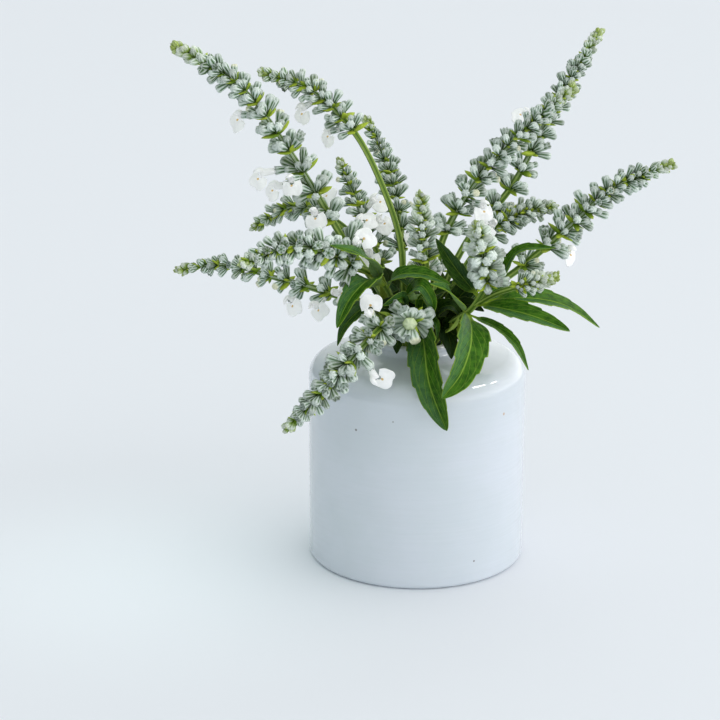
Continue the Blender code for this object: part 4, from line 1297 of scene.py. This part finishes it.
stemLines = {}
for name, sprig in sprigs.items():
    way = fullWay(sprig)
    lower, spikeLine = splitWay(way, sprig["spike"])
    if name in pairs:
        leaves[name] = leaves.get(name, []) + leafPair(name, lower)
    straight = way[1:] if "rim" in sprig else way
    points = ([way[0]] if "rim" in sprig else []) + resample(straight, stem["step"])
    bare = 1 - sprig["spike"] / (len(way) * 1.25)
    thick = stem["halfDiagonal"] * (1.0 if "rim" in sprig else stem["shoot"])
    stemLines.setdefault(sprig.get("parent", name), []).append((points, thick, stem["tip"], bare))
    calyces, bracts, flowers = planSpike(name, spikeLine, sprig)
    piece = makeWhorls(name + ".calyces", calyces, mealyFelt, len(stemLines), mealAndPaintedLight=sprig.get("mealAndPaintedLight", 0.0))
    finishPiece(piece, "mealy_calyx", name + "_spike")
    finishPiece(makeWhorls(name + ".bracts", bracts, bractGreen, 3, 0.4), "stem_and_leaf")
    if flowers:
        finishPiece(makeFlowers(name + ".flowers", flowers), "petal")
print("spikes grown:", len(sprigs))

for name, lines in stemLines.items():
    finishPiece(makeStemPiece(name + ".stem", lines), "stem_and_leaf", name + "_stem")
    if name in leaves:
        finishPiece(makeLeaves(name + ".leaves", leaves[name]), "stem_and_leaf")
print("stems and leaves grown")


# studio


studio = {
    "floor": (0.80, 0.825, 0.865), "patch": (0.79, 0.81, 0.855), "floorSize": 6.0,
    # painted light: a paler, cooler patch painted on the floor where the vase keeps the light off, lightening
    # its shadow
    "paintedLightPatch": (0.90, 0.95, 0.99), "paintedLightPlace": (-0.09, -0.02, 0.0), "paintedLightReach": 0.13,
    "skyLeft": (0.89, 0.985, 0.975), "skyRight": (0.99, 0.975, 0.99),
    # how much brighter the low right part of the sky is than the left
    "skySlope": 1.5, "skyLeast": 0.12, "skyStrength": 1.0,
    # the lights face this place
    "aim": (0, 0, 0.08),
    "key": {
        "place": (1.1, -0.5, 1.1), "size": (0.9, 0.9), "along": (1, 0, 0), "power": 1.4, "seen": False,
    },
    # a thin strip that only shines back from the glaze
    "strip": {
        "place": (0.89, 0.04, 0.89), "size": (0.62, 0.03), "along": (0.2, 0.57, -0.25), "power": 5.0,
        "seen": True,
    },
}


def makeFloor():
    material, tree, shader = newShader("paleFloor", {"Roughness": 0.75, "Specular IOR Level": 0.2})
    patch, _ = mottle(tree, 0.6, 2.0)
    # painted light: the floor is paler and cooler near the vase, lightening its cast shadow
    away = apart(tree, objectPlace(tree), studio["paintedLightPlace"])
    near = smoothStep(tree, away, studio["paintedLightReach"], 0.0)
    base = layered(tree, studio["floor"], (patch, studio["patch"], 0.15), (near, studio["paintedLightPatch"], 1))
    dress(tree, shader, base)
    half = studio["floorSize"] / 2
    mesh = bpy.data.meshes.new("floor")
    corners = [(-half, -half, 0), (half, -half, 0), (half, half, 0), (-half, half, 0)]
    mesh.from_pydata(corners, [], [(0, 1, 2, 3)])
    newPiece("floor", mesh, [material])


def makeLight(name, values):
    data = bpy.data.lights.new(name, "AREA")
    data.shape = "RECTANGLE"
    data.size, data.size_y = values["size"]
    data.energy = values["power"]
    lamp = newPiece(name, data)
    place = Vector(values["place"])
    back = (place - Vector(studio["aim"])).normalized()
    along = squareTo(back, Vector(values["along"]))
    turn = Matrix((along, back.cross(along), back)).transposed().to_4x4()
    lamp.matrix_world = Matrix.Translation(place) @ turn
    lamp.visible_glossy = values["seen"]
    lamp.visible_diffuse = not values["seen"]


def makeSky():
    world = bpy.data.worlds.new("studioSky")
    world.use_nodes = True
    tree = world.node_tree
    sky = tree.nodes["Background"]
    way = put(tree, "ShaderNodeTexCoord")["Generated"]
    side, _, height = axes(tree, way)
    tint = blend(tree, smoothStep(tree, side, -1.0, 1.0), studio["skyLeft"], studio["skyRight"])
    tree.links.new(tint, sky.inputs["Color"])
    low = calc(tree, "POWER", calc(tree, "SUBTRACT", 1.0, calc(tree, "MAXIMUM", height, 0.0)), 1.5)
    slope = times(tree, times(tree, side, low), studio["skySlope"])
    slope = calc(tree, "MAXIMUM", calc(tree, "ADD", slope, 1.0), studio["skyLeast"])
    tree.links.new(times(tree, slope, studio["skyStrength"]), sky.inputs["Strength"])
    bpy.context.scene.world = world


makeFloor()
makeLight("keyLight", studio["key"])
makeLight("stripLight", studio["strip"])
makeSky()
bpy.context.scene.view_settings.view_transform = "Standard"
print("studio lit")
